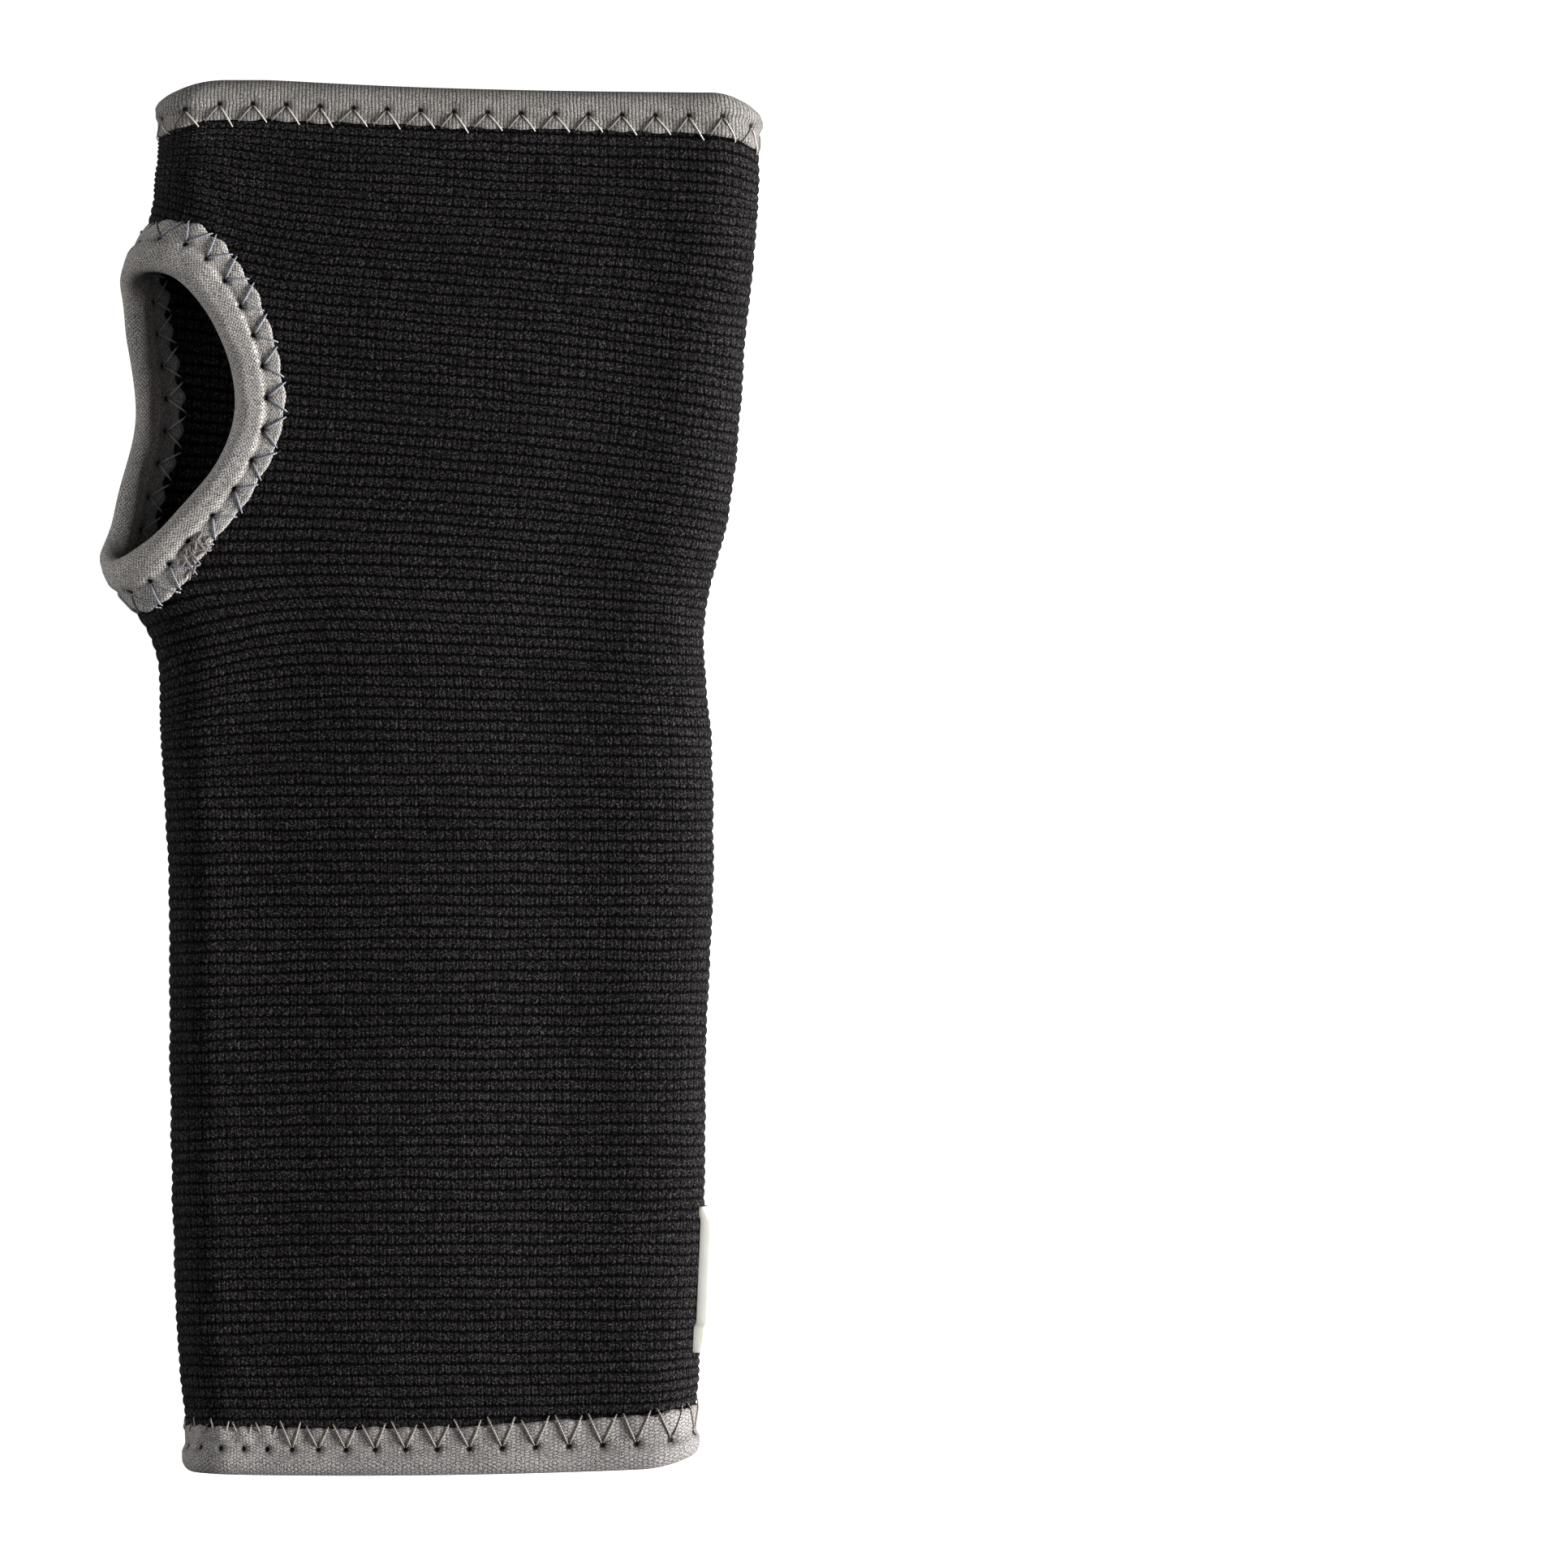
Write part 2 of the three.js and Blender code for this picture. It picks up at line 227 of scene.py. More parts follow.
class Unevenness(NamedTuple):
    """Smooth uneven patches over the tube that close round it: how strong, which ones, and their sizes."""

    amount: float
    seed: int
    scales: tuple[float, ...]

    def over(self, share: Array, along: Array) -> Array:
        """Read the patches.

        Args:
            share: Places round the tube, from 0 to 1.
            along: Places along the tube, in metres.

        Returns:
            Numbers from about minus to plus the amount.
        """
        girth, waves, lengths = 0.18, 3, (0.4, 1.0)
        random = np.random.default_rng(self.seed)
        total = np.zeros(np.broadcast(share, along).shape)
        for scale in self.scales:
            turns = round(girth / scale)
            for _ in range(waves):
                around = int(random.integers(-turns, turns + 1))
                lengthways = random.uniform(*lengths) / scale
                phase = random.uniform(0.0, WHOLE_TURN)
                total = total + np.sin(WHOLE_TURN * (around * share + lengthways * along) + phase)
        return self.amount * total / math.sqrt(waves * len(self.scales))


class SleeveSurface:
    """The knit's outer face, read by its place along the tube and its share of the way round."""

    ROW_STEP = 0.0005
    SHARES = 1200
    CURVE_STEPS = 60
    STEEP_TO_LEVEL = (0.20, 0.85)
    # Rows kept free at the end of the table, so that each reading has a next row
    END_ROWS = 1.001

    def __init__(self) -> None:
        """Sample the face's points and normals into a fine table."""
        count = round(2 * HAND_END.peak / self.ROW_STEP) + 1
        self.rows = np.linspace(-FOREARM_END.peak, HAND_END.peak, count)
        outlines = [self._outline(along) for along in self.rows]
        self.lengths = np.array([length for _, length, _ in outlines])
        self.finger_tips = np.array([tip for _, _, tip in outlines])
        flat = np.stack([points for points, _, _ in outlines])
        shifted = np.stack([self._edge_shift(along, line[:, 0]) for along, line in zip(self.rows, flat)])
        self.points = np.stack([flat[..., 0], self.rows[:, None] + shifted, flat[..., 1]], axis=-1)
        heading_around = np.roll(self.points, -1, axis=1) - np.roll(self.points, 1, axis=1)
        heading_along = np.gradient(self.points, axis=0)
        normals = np.cross(heading_around, heading_along)
        self.normals = normals / np.linalg.norm(normals, axis=-1, keepdims=True)

    def length(self, along: Array) -> Array:
        """Give the distance round the tube at a place along it."""
        return np.interp(along, self.rows, self.lengths)

    def finger_tip(self, along: Array) -> Array:
        """Give the distance round to the little-finger fold at a place along the tube."""
        return np.interp(along, self.rows, self.finger_tips)

    def place(self, along: Array, share: Array, height: Array | float) -> Array:
        """Find points over the face.

        Args:
            along: Places along the tube, in metres.
            share: Places round it, as a share of the way round from the thumb-side fold.
            height: Distances out from the face, square to it.

        Returns:
            The points, in metres.
        """
        along, share, height = np.broadcast_arrays(along, share, height)
        row = np.clip((along - self.rows[0]) / self.ROW_STEP, 0.0, len(self.rows) - self.END_ROWS)
        low = row.astype(int)
        row_part = (row - low)[..., None]
        column = np.mod(share, 1.0) * self.SHARES
        left = column.astype(int) % self.SHARES
        right = (left + 1) % self.SHARES
        column_part = (column - np.floor(column))[..., None]

        def blend(table: Array) -> Array:
            """Read a table between its rows and columns.

            Args:
                table: A vector for each row and column.

            Returns:
                The vectors at the wanted places.
            """
            near = table[low, left] * (1 - column_part) + table[low, right] * column_part
            far = table[low + 1, left] * (1 - column_part) + table[low + 1, right] * column_part
            return near * (1 - row_part) + far * row_part

        return blend(self.points) + blend(self.normals) * height[..., None]

    def level(self, along: Array, share: Array) -> Array:
        """Tell how level the face lies, from 0 on the side of a fold to 1 on the flat.

        Args:
            along: Places along the tube, in metres.
            share: Places round it.

        Returns:
            The eased tilt of the face.
        """
        upright = self.place(along, share, 1.0)[..., 2] - self.place(along, share, 0.0)[..., 2]
        return smoothstep(np.abs(upright), *self.STEEP_TO_LEVEL)

    @staticmethod
    def _sizes(along: float) -> Section:
        """Give the section at any place along the tube, smooth between the rows of the table.

        Args:
            along: Place along the tube, in metres.

        Returns:
            The section there.
        """
        table = np.array(SECTIONS)
        places = table[:, 0]
        index = int(np.clip(np.searchsorted(places, along) - 1, 0, len(places) - 2))
        secants = np.diff(table, axis=0) / np.diff(places)[:, None]
        slopes = np.vstack([secants[:1], (secants[1:] + secants[:-1]) / 2, secants[-1:]])
        span = places[index + 1] - places[index]
        leave, arrive = slopes[index] * span, slopes[index + 1] * span
        return Section(*join(table[index], table[index + 1], leave, arrive, (along - places[index]) / span))

    @staticmethod
    def _fold(tip: float, level: float, middle: float, level_z: float) -> list[Span]:
        """Give the quarter of a fold, from its tip to where the layer runs level.

        Args:
            tip: Where across the tube the fold turns.
            level: Where across the tube the layer is level.
            middle: Height of the tip.
            level_z: Height of the level layer.

        Returns:
            Four control points.
        """
        reach, rise = level - tip, level_z - middle
        pull = math.copysign(math.sqrt((2 / 3) * (1 - FOLD_LEVELLING) * abs(reach * rise)), rise)
        eased = level - FOLD_LEVELLING * reach
        return [(tip, middle), (tip, middle + pull), (eased, level_z), (level, level_z)]

    @staticmethod
    def _layer(fold_x: float, fold_z: float, far_x: float, far_z: float) -> list[Span]:
        """Give half of a layer, level at both of its ends, as four control points."""
        middle = (fold_x + far_x) / 2
        return [(fold_x, fold_z), (middle, fold_z), (middle, far_z), (far_x, far_z)]

    def _outline(self, along: float) -> tuple[Array, float, float]:
        """Draw the face's outline across the tube.

        Args:
            along: Place along the tube, in metres.

        Returns:
            Its points at even shares of its length, its length, and the distance to the finger-side fold.
        """
        size = self._sizes(along)
        end = HAND_END if along > 0 else FOREARM_END
        under = TAPE_PROUD * (1 - float(smoothstep(end.peak - end.tape - abs(along), SEAT_GAP, LIFT_LENGTH)))
        middle, top = under + size.height / 2, under + size.height
        start, stop = size.left + size.left_round, size.right - size.right_round
        centre, rest_end = (start + stop) / 2, start + THUMB_LIFT_REACH
        lifted = under + max(0.0, size.thumb_lift)
        to_finger_tip = 4 * self.CURVE_STEPS
        stretches = [
            self._fold(size.left, start, middle, top),
            self._layer(start, top, centre, top + size.dome),
            self._layer(stop, top, centre, top + size.dome)[::-1],
            self._fold(size.right, stop, middle, top)[::-1],
            self._fold(size.right, stop, middle, under),
            self._layer(stop, under, rest_end, under),
            self._layer(rest_end, under, start, lifted),
            self._fold(size.left, start, middle, lifted)[::-1],
        ]
        curves = [bezier(points, self.CURVE_STEPS) for points in stretches]
        line = np.vstack([curves[0], *(curve[1:] for curve in curves[1:])])
        distances = distances_along(line)
        wanted = np.arange(self.SHARES) / self.SHARES * distances[-1]
        points = np.stack([np.interp(wanted, distances, line[:, axis]) for axis in (0, 1)], axis=-1)
        return points, float(distances[-1]), float(distances[to_finger_tip])

    def _edge_shift(self, along: float, across: Array) -> Array:
        """Give how far the shape of the nearer end edge moves the face's points along the tube.

        Args:
            along: Place along the tube, in metres.
            across: Places across it.

        Returns:
            The distances, in metres.
        """
        end = HAND_END if along > 0 else FOREARM_END
        size = self._sizes(along)
        to_fingers = np.maximum(0.0, across - end.across)
        slump_run = to_fingers**2 / (to_fingers + SLUMP_START)
        fall = end.fall * (across - end.across) ** 2
        fall = fall + end.slump.drop * (1 - np.exp(-slump_run / end.slump.reach))
        corners = ((end.thumb_corner, across - size.left), (end.finger_corner, size.right - across))
        for corner, distance in corners:
            fall = fall + corner.drop * np.clip(1 - np.maximum(0, distance) / corner.reach, 0, None) ** 2
        return -end.side * float(smoothstep(abs(along), end.peak - END_BLEND, end.peak)) * fall


class ThumbRim:
    """The finished rim of the thumb hole, as a closed curve on the tube's face."""

    KNOT_STEPS = 60
    SLOPE_STEP = 0.002
    OUTLINE_POINTS = 160
    TINY = 1e-12

    def __init__(self, surface: SleeveSurface) -> None:
        """Draw the curve through the rim's points.

        Args:
            surface: The face that the rim lies on.
        """
        self.surface = surface
        knots = np.array(THUMB_RIM)
        before, start, end, after = (np.roll(knots, shift, axis=0) for shift in (1, 0, -1, -2))
        first, middle, last = (
            np.linalg.norm(b - a, axis=1, keepdims=True) ** 0.5
            for a, b in ((before, start), (start, end), (end, after))
        )
        leave = ((start - before) / first - (end - before) / (first + middle)) * middle + end - start
        arrive = ((after - end) / last - (after - start) / (middle + last)) * middle + end - start
        share = (np.arange(self.KNOT_STEPS) / self.KNOT_STEPS)[None, :, None]
        self.line = join(*(part[:, None] for part in (start, end, leave, arrive)), share).reshape(-1, 2)
        distances = distances_along(np.vstack([self.line, self.line[:1]]))
        self.shares = distances[:-1] / distances[-1]

    def offset(self, share: Array, inward: Array | float) -> tuple[Array, Array]:
        """Find places on the face at a distance from the rim.

        Args:
            share: Places on the rim, as a share of its length.
            inward: Distances from the rim into the cloth, in metres.

        Returns:
            Distances around from the thumb-side fold, and places along the tube.
        """
        before, after = share - self.SLOPE_STEP, share + self.SLOPE_STEP
        around, along = (self._read(share, axis) for axis in (0, 1))
        run, rise = (self._read(after, axis) - self._read(before, axis) for axis in (0, 1))
        size = np.hypot(run, rise)
        return around - rise / size * inward, along + run / size * inward

    def even_shares(self, count: int, inward: float) -> Array:
        """Give places on the rim that lie evenly apart on a line at a distance from it.

        Args:
            count: How many places.
            inward: Distance of that line from the rim, in metres.

        Returns:
            The places, as shares of the rim's length.
        """
        fine = np.linspace(0.0, 1.0, 4 * len(self.line) + 1)
        distances = distances_along(np.stack(self.offset(fine, inward), axis=-1))
        return np.interp(np.arange(count) / count * distances[-1], distances, fine)

    def covers(self, along: Array, share: Array, inward: float) -> Array:
        """Tell which places lie inside the line at a distance from the rim.

        Args:
            along: Places along the tube, in metres.
            share: Places round the tube, from 0 to 1.
            inward: Distance of the line from the rim, in metres.

        Returns:
            True where a place is inside.
        """
        wrapped = np.where(share > 0.5, share - 1.0, share)
        around = wrapped * self.surface.length(along)
        corners = np.stack(self.offset(self.even_shares(self.OUTLINE_POINTS, inward), inward), axis=-1)
        low, high = corners.min(axis=0), corners.max(axis=0)
        near = (around > low[0]) & (around < high[0]) & (along > low[1]) & (along < high[1])
        x, y = around[near], along[near]
        inside = np.zeros(x.shape, dtype=bool)
        for (ax, ay), (bx, by) in zip(corners, np.roll(corners, -1, axis=0)):
            crosses = (ay > y) != (by > y)
            inside ^= crosses & (x < ax + (y - ay) / (by - ay + self.TINY) * (bx - ax))
        found = np.zeros(around.shape, dtype=bool)
        found[near] = inside
        return found

    def _read(self, share: Array, axis: int) -> Array:
        """Read one coordinate of the rim at shares of its length."""
        return np.interp(np.mod(share, 1.0), self.shares, self.line[:, axis], period=1.0)


def ring_corners(rows: int, columns: int, closed: bool) -> tuple[Array, Array]:
    """Give the corners of a grid's quads, where the grid closes round its columns.

    Args:
        rows: Rows of points.
        columns: Columns of points.
        closed: Whether the last row also joins the first.

    Returns:
        The row and the column of each quad's four corners, counted on past the last one where it closes.
    """
    row, column = np.meshgrid(np.arange(rows if closed else rows - 1), np.arange(columns), indexing="ij")
    row, column = row.reshape(-1, 1), column.reshape(-1, 1)
    return row + np.array([0, 0, 1, 1]), column + np.array([0, 1, 1, 0])


def make_piece(name: str, points: Array, quads: Array, uv: Array, uv_name: str) -> bpy.types.Object:
    """Make a smooth mesh object from arrays.

    Args:
        name: The piece's name.
        points: Its points, in metres.
        quads: Four point numbers for each face.
        uv: The place of each face corner on the cloth.
        uv_name: The name of that map.

    Returns:
        The new object, linked to the scene.
    """
    used, numbers = np.unique(quads, return_inverse=True)
    mesh = bpy.data.meshes.new(name)
    mesh.vertices.add(len(used))
    mesh.vertices.foreach_set("co", np.ascontiguousarray(points[used], dtype=np.float32).ravel())
    mesh.loops.add(quads.size)
    mesh.loops.foreach_set("vertex_index", numbers.astype(np.int32).ravel())
    mesh.polygons.add(len(quads))
    mesh.polygons.foreach_set("loop_start", np.arange(0, quads.size, 4, dtype=np.int32))
    mesh.update(calc_edges=True)
    layer = mesh.uv_layers.new(name=uv_name)
    layer.uv.foreach_set("vector", np.ascontiguousarray(uv, dtype=np.float32).ravel())
    mesh.shade_smooth()
    piece = bpy.data.objects.new(name, mesh)
    bpy.context.scene.collection.objects.link(piece)
    return piece


class Signal:
    """A shader value: arithmetic with it adds Math nodes to its plan."""

    def __init__(self, plan: "NodePlan", socket: bpy.types.NodeSocket) -> None:
        """Wrap a node's output.

        Args:
            plan: The nodes that it belongs to.
            socket: The output.
        """
        self.plan = plan
        self.socket = socket

    def __add__(self, other: "Signal | float") -> "Signal":
        """Add a value."""
        return self.plan.math("ADD", self, other)

    def __sub__(self, other: "Signal | float") -> "Signal":
        """Take a value away."""
        return self.plan.math("SUBTRACT", self, other)

    def __rsub__(self, other: float) -> "Signal":
        """Take this away from a number."""
        return self.plan.math("SUBTRACT", other, self)

    def __mul__(self, other: "Signal | float") -> "Signal":
        """Multiply by a value."""
        return self.plan.math("MULTIPLY", self, other)

    def __truediv__(self, other: "Signal | float") -> "Signal":
        """Divide by a value."""
        return self.plan.math("DIVIDE", self, other)

    def __pow__(self, power: float) -> "Signal":
        """Raise to a power."""
        return self.plan.math("POWER", self, power)

    def __abs__(self) -> "Signal":
        """Drop the sign."""
        return self.plan.math("ABSOLUTE", self)


class NodePlan:
    """Nodes of one material or shader group, added and wired by name."""

    def __init__(self, tree: bpy.types.NodeTree) -> None:
        """Start on a node tree."""
        self.tree = tree

    def node(self, kind: str, inputs: dict | None = None, **settings: object) -> bpy.types.Node:
        """Add a node.

        Args:
            kind: Blender's name of the node type.
            inputs: A value or a signal for each input, by its name or number.
            **settings: Properties of the node.

        Returns:
            The new node.
        """
        made = self.tree.nodes.new(kind)
        for name, value in settings.items():
            setattr(made, name, value)
        for key, value in (inputs or {}).items():
            self.feed(made.inputs[key], value)
        return made

    def take(
        self, kind: str, inputs: dict | None = None, output: str | int = 0, **settings: object
    ) -> Signal:
        """Add a node and give one of its outputs, by its name or number."""
        return Signal(self, self.node(kind, inputs, **settings).outputs[output])

    def feed(self, target: bpy.types.NodeSocket, value: object) -> None:
        """Link a signal to an input, or set the input's value.

        Args:
            target: The input.
            value: A signal, a number, a vector or a colour.
        """
        if isinstance(value, Signal):
            self.tree.links.new(value.socket, target)
        elif isinstance(value, tuple) and target.type == "RGBA":
            target.default_value = (*value, 1.0)
        else:
            target.default_value = value

    def math(self, operation: str, *values: object) -> Signal:
        """Add a Math node and give its result."""
        return self.take("ShaderNodeMath", dict(enumerate(values)), operation=operation)

    def place(self) -> Signal:
        """Give the object coordinates."""
        return self.take("ShaderNodeTexCoord", output="Object")

    def split(self, vector: Signal) -> tuple[Signal, Signal]:
        """Give the first two parts of a vector."""
        parts = self.node("ShaderNodeSeparateXYZ", {0: vector}).outputs
        return Signal(self, parts[0]), Signal(self, parts[1])

    def ease(
        self, value: Signal, low: object, high: object, to_low: float = 0.0, to_high: float = 1.0
    ) -> Signal:
        """Ease a value from one range to another, and hold it at the ends.

        Args:
            value: The value to ease.
            low: Where the step begins.
            high: Where the step ends.
            to_low: What it gives at the beginning.
            to_high: What it gives at the end.

        Returns:
            The eased value.
        """
        inputs = {"Value": value, "From Min": low, "From Max": high, "To Min": to_low, "To Max": to_high}
        return self.take("ShaderNodeMapRange", inputs, "Result", interpolation_type="SMOOTHSTEP")

    def edge(self, value: Signal) -> Signal:
        """Give 1 at whole numbers and 0 half-way between them, in straight slopes."""
        return abs(self.math("FRACT", value) - 0.5) * 2.0

    def noise(self, vector: Signal, scale: float, detail: float, roughness: float = 0.5) -> Signal:
        """Add a noise texture and give its value."""
        inputs = {"Vector": vector, "Scale": scale, "Detail": detail, "Roughness": roughness}
        return self.take("ShaderNodeTexNoise", inputs)

    def blend(self, share: Signal, first: object, second: object) -> Signal:
        """Mix two colours."""
        return self.take("ShaderNodeMix", {0: share, 6: first, 7: second}, 2, data_type="RGBA")

    def bump(self, height: Signal, distance: float, strength: float) -> Signal:
        """Add a Bump node and give its normal."""
        return self.take("ShaderNodeBump", {"Height": height, "Distance": distance, "Strength": strength})


class ShaderGroup(ABC):
    """A shader node group that is built once and placed in each material that uses it.

    Its inputs have a start value each, or None for a vector.
    """

    title: str
    inputs: dict[str, float | None]
    outputs: tuple[str, ...]

    def tree(self) -> bpy.types.NodeTree:
        """Give the group's tree, built at its first use.

        Returns:
            The tree.
        """
        found = bpy.data.node_groups.get(self.title)
        if found:
            return found
        made = bpy.data.node_groups.new(self.title, "ShaderNodeTree")
        for name, start in self.inputs.items():
            kind = "NodeSocketVector" if start is None else "NodeSocketFloat"
            socket = made.interface.new_socket(name, in_out="INPUT", socket_type=kind)
            if start is not None:
                socket.default_value = start
        for name in self.outputs:
            made.interface.new_socket(name, in_out="OUTPUT", socket_type="NodeSocketFloat")
        plan = NodePlan(made)
        given = plan.node("NodeGroupInput").outputs
        result = plan.node("NodeGroupOutput").inputs
        signals = self.wire(plan, {name: Signal(plan, given[name]) for name in self.inputs})
        for name, value in zip(self.outputs, signals):
            plan.feed(result[name], value)
        return made

    @abstractmethod
    def wire(self, plan: NodePlan, given: dict[str, Signal]) -> tuple[Signal, ...]:
        """Wire the group.

        Args:
            plan: The group's nodes.
            given: Its inputs, by name.

        Returns:
            Its outputs, in their order.
        """

    def put(self, plan: NodePlan, **values: object) -> dict[str, Signal]:
        """Place the group in a material.

        Args:
            plan: The material's nodes.
            **values: A value or signal for each input, with _ for a space.

        Returns:
            The group's outputs, by name.
        """
        made = plan.node("ShaderNodeGroup", node_tree=self.tree())
        for name, value in values.items():
            plan.feed(made.inputs[name.replace("_", " ")], value)
        return {name: Signal(plan, made.outputs[name]) for name in self.outputs}


class RibStitch(ShaderGroup):
    """Ribs of fuzzy knitted stitches on a map that counts wales across and ribs along."""

    title = "rib stitch"
    inputs = {"Map": None, "Place": None, "Open From": 0.0, "Open To": 1.0}
    outputs = ("Tone", "Height")

    # How far the stitches sway, in wales and ribs, over how many patches in each
    WALE_SWAY, RIB_SWAY, SWAY_SCALE = 0.50, 0.24, 0.8
    # Strokes of yarn in each wale and rib, and fibres in each metre
    STROKES, FIBRES = (4.6, 2.4, 1.0), 4300.0
    # Legs in each wale, and how sharply the notches of a wale and of a leg narrow
    LEGS, CORNER_POWER, LEG_POWER = 2.0, 3.0, 2.0
    # How far those notches and the loose yarn reach into the groove between ribs
    LEG_NOTCH, NOTCH_REACH, RAGGED, GROOVE = 0.6, 0.22, -0.42, (0.56, 1.02)
    # Depths of the gaps, which sink the relief and darken the tone as painted shade, and what each one is in
    # the close and in the open stitch
    GROOVE_DEPTH, CORNER_DEPTH = 0.58, (0.10, 0.30)
    SPLIT, SPLIT_DEPTH = (0.50, 1.0), (0.09, 0.13)
    LEG, LEG_DEPTH = (0.45, 1.0), (0.10, 0.07)
    # Tone of the bare yarn, what its fibres and strokes add, and the brightest tone
    YARN, FIBRE_TONE, STROKE_TONE, BRIGHTEST, FIBRE_RISE = 0.62, 2.1, 1.0, 1.25, 0.9

    def wire(self, plan: NodePlan, given: dict[str, Signal]) -> tuple[Signal, ...]:
        """Draw a rib of narrow legs at the forearm, and of whole pebble-like stitches at the hand.

        Args:
            plan: The group's nodes.
            given: Its inputs, by name.

        Returns:
            The yarn's tone, darkened by painted shade in the gaps, and its height.
        """
        across, along = plan.split(given["Map"])
        sway = plan.noise(given["Map"], self.SWAY_SCALE, detail=2.0) - 0.5
        wale = sway * self.WALE_SWAY + across
        rib = sway * self.RIB_SWAY + along
        opened = plan.ease(along, given["Open From"], given["Open To"])
        strokes = plan.take("ShaderNodeVectorMath", {0: given["Map"], 1: self.STROKES}, operation="MULTIPLY")
        tuft = plan.noise(strokes, scale=1.0, detail=2.0, roughness=0.6) - 0.5
        fibre = plan.noise(given["Place"], self.FIBRES, detail=2.0, roughness=0.65) - 0.5
        wale_edge = plan.edge(wale)
        leg_edge = plan.edge(wale * self.LEGS)
        corner = wale_edge**self.CORNER_POWER
        notch = plan.math("MAXIMUM", corner, leg_edge**self.LEG_POWER * self.LEG_NOTCH)
        ragged = (tuft + fibre) * self.RAGGED + plan.edge(rib)
        groove = plan.ease(notch * self.NOTCH_REACH + ragged, *self.GROOVE)
        cut = groove * (corner * plan.ease(opened, 0.0, 1.0, *self.CORNER_DEPTH) + self.GROOVE_DEPTH)
        split = plan.ease(wale_edge, *self.SPLIT) * plan.ease(opened, 0.0, 1.0, *self.SPLIT_DEPTH)
        leg = plan.ease(leg_edge, *self.LEG) * plan.ease(opened, 0.0, 1.0, *self.LEG_DEPTH)
        gaps = cut + split + leg
        # Painted shade: the gaps darken the yarn's tone as well as sinking its height
        tone = self.YARN - gaps + fibre * self.FIBRE_TONE + tuft * self.STROKE_TONE
        lit = plan.math("MINIMUM", plan.math("MAXIMUM", tone, 0.0), self.BRIGHTEST)
        return lit, fibre * self.FIBRE_RISE + (1.0 - gaps)


class TapeWeave(ShaderGroup):
    """Cords across a woven tape with short dark gaps between and on them, on a map in metres."""

    title = "tape weave"
    inputs = {"Map": None, "Place": None, "Column": 0.00054, "Dash": 0.00041, "Cord": 0.6}
    outputs = ("Thread", "Height", "Cloud")

    # Patches in each metre in which the cords sway, and how far, in cords
    SWAY_SCALE, SWAY = 650.0, 0.7
    # Where a gap starts and is whole, and how dark it is
    GAP, GAP_DEPTH = (-0.15, 0.75), 0.72
    # Fibres in each metre, the tones that they have, and how far they stand up
    FIBRES, FIBRE_TONES, FIBRE_RISE = 5200.0, (0.34, 0.66, 0.05, 1.25), 0.5
    CLOUDS = 110.0

    def wire(self, plan: NodePlan, given: dict[str, Signal]) -> tuple[Signal, ...]:
        """Set the cords side by side, with gaps that change places from cord to cord, and roughen them.

        Args:
            plan: The group's nodes.
            given: Its inputs, by name.

        Returns:
            The thread's tone, its height, and a cloudy value.
        """
        across, along = plan.split(given["Map"])
        sway = plan.noise(given["Map"], self.SWAY_SCALE, detail=1.0) * self.SWAY - self.SWAY / 2
        column = across / given["Column"] + sway
        dash = along / given["Dash"] + sway
        between = plan.math("COSINE", column * WHOLE_TURN)
        on_cord = plan.math("SINE", column * math.pi) * plan.math("SINE", dash * WHOLE_TURN)
        gap = plan.ease(between * given["Cord"] + on_cord * (1.0 - given["Cord"]), *self.GAP)
        fibre = plan.noise(given["Place"], self.FIBRES, detail=3.0, roughness=0.75)
        solid = 1.0 - gap * self.GAP_DEPTH
        thread = solid * plan.ease(fibre, *self.FIBRE_TONES)
        return thread, fibre * self.FIBRE_RISE + solid, plan.noise(given["Place"], self.CLOUDS, detail=3.0)


class NeedleLine(ShaderGroup):
    """A row of needle holes along a tape, with painted shade round each, on a map in metres."""

    title = "needle line"
    inputs = {"Map": None, "Line": 0.004, "Pitch": 0.004, "Hole": 0.0003}
    outputs = ("Hole", "Near", "From Line")

    # Where the hole and the painted shade round it begin and are whole, in radii of the hole
    HOLE, NEAR = (1.35, 0.65), (4.2, 0.8)

    def wire(self, plan: NodePlan, given: dict[str, Signal]) -> tuple[Signal, ...]:
        """Measure how far a place is from the nearest needle hole.

        Args:
            plan: The group's nodes.
            given: Its inputs, by name.

        Returns:
            How much of the hole and of the painted shade round it shows, and the distance from the line.
        """
        along, across = plan.split(given["Map"])
        sideways = (plan.math("FRACT", along / given["Pitch"] + 0.5) - 0.5) * given["Pitch"]
        away = abs(across) - given["Line"]
        distance = plan.math("SQRT", sideways * sideways + away * away) / given["Hole"]
        return plan.ease(distance, *self.HOLE), plan.ease(distance, *self.NEAR), away


@dataclass(frozen=True)
class Finish(ABC):
    """A surface finish: its title, and a slot name."""

    title: str
    slot: str = ""

    def dress(self, piece: bpy.types.Object) -> None:
        """Give a piece this finish.

        Args:
            piece: The object to dress.
        """
        piece.data.materials.clear()
        piece.data.materials.append(self.material())

    def material(self) -> bpy.types.Material:
        """Give the material, built at its first use.

        Returns:
            The material.
        """
        found = bpy.data.materials.get(self.title)
        if found:
            return found
        made = bpy.data.materials.new(self.title)
        made.use_nodes = True
        plan = NodePlan(made.node_tree)
        shader = made.node_tree.nodes["Principled BSDF"]
        for name, value in self.wire(plan).items():
            plan.feed(shader.inputs[name], value)
        return made

    @abstractmethod
    def wire(self, plan: NodePlan) -> dict[str, object]:
        """Lay out the material's pattern.

        Args:
            plan: The material's nodes.

        Returns:
            A value or signal for each input of the shader that isn't left as it is.
        """


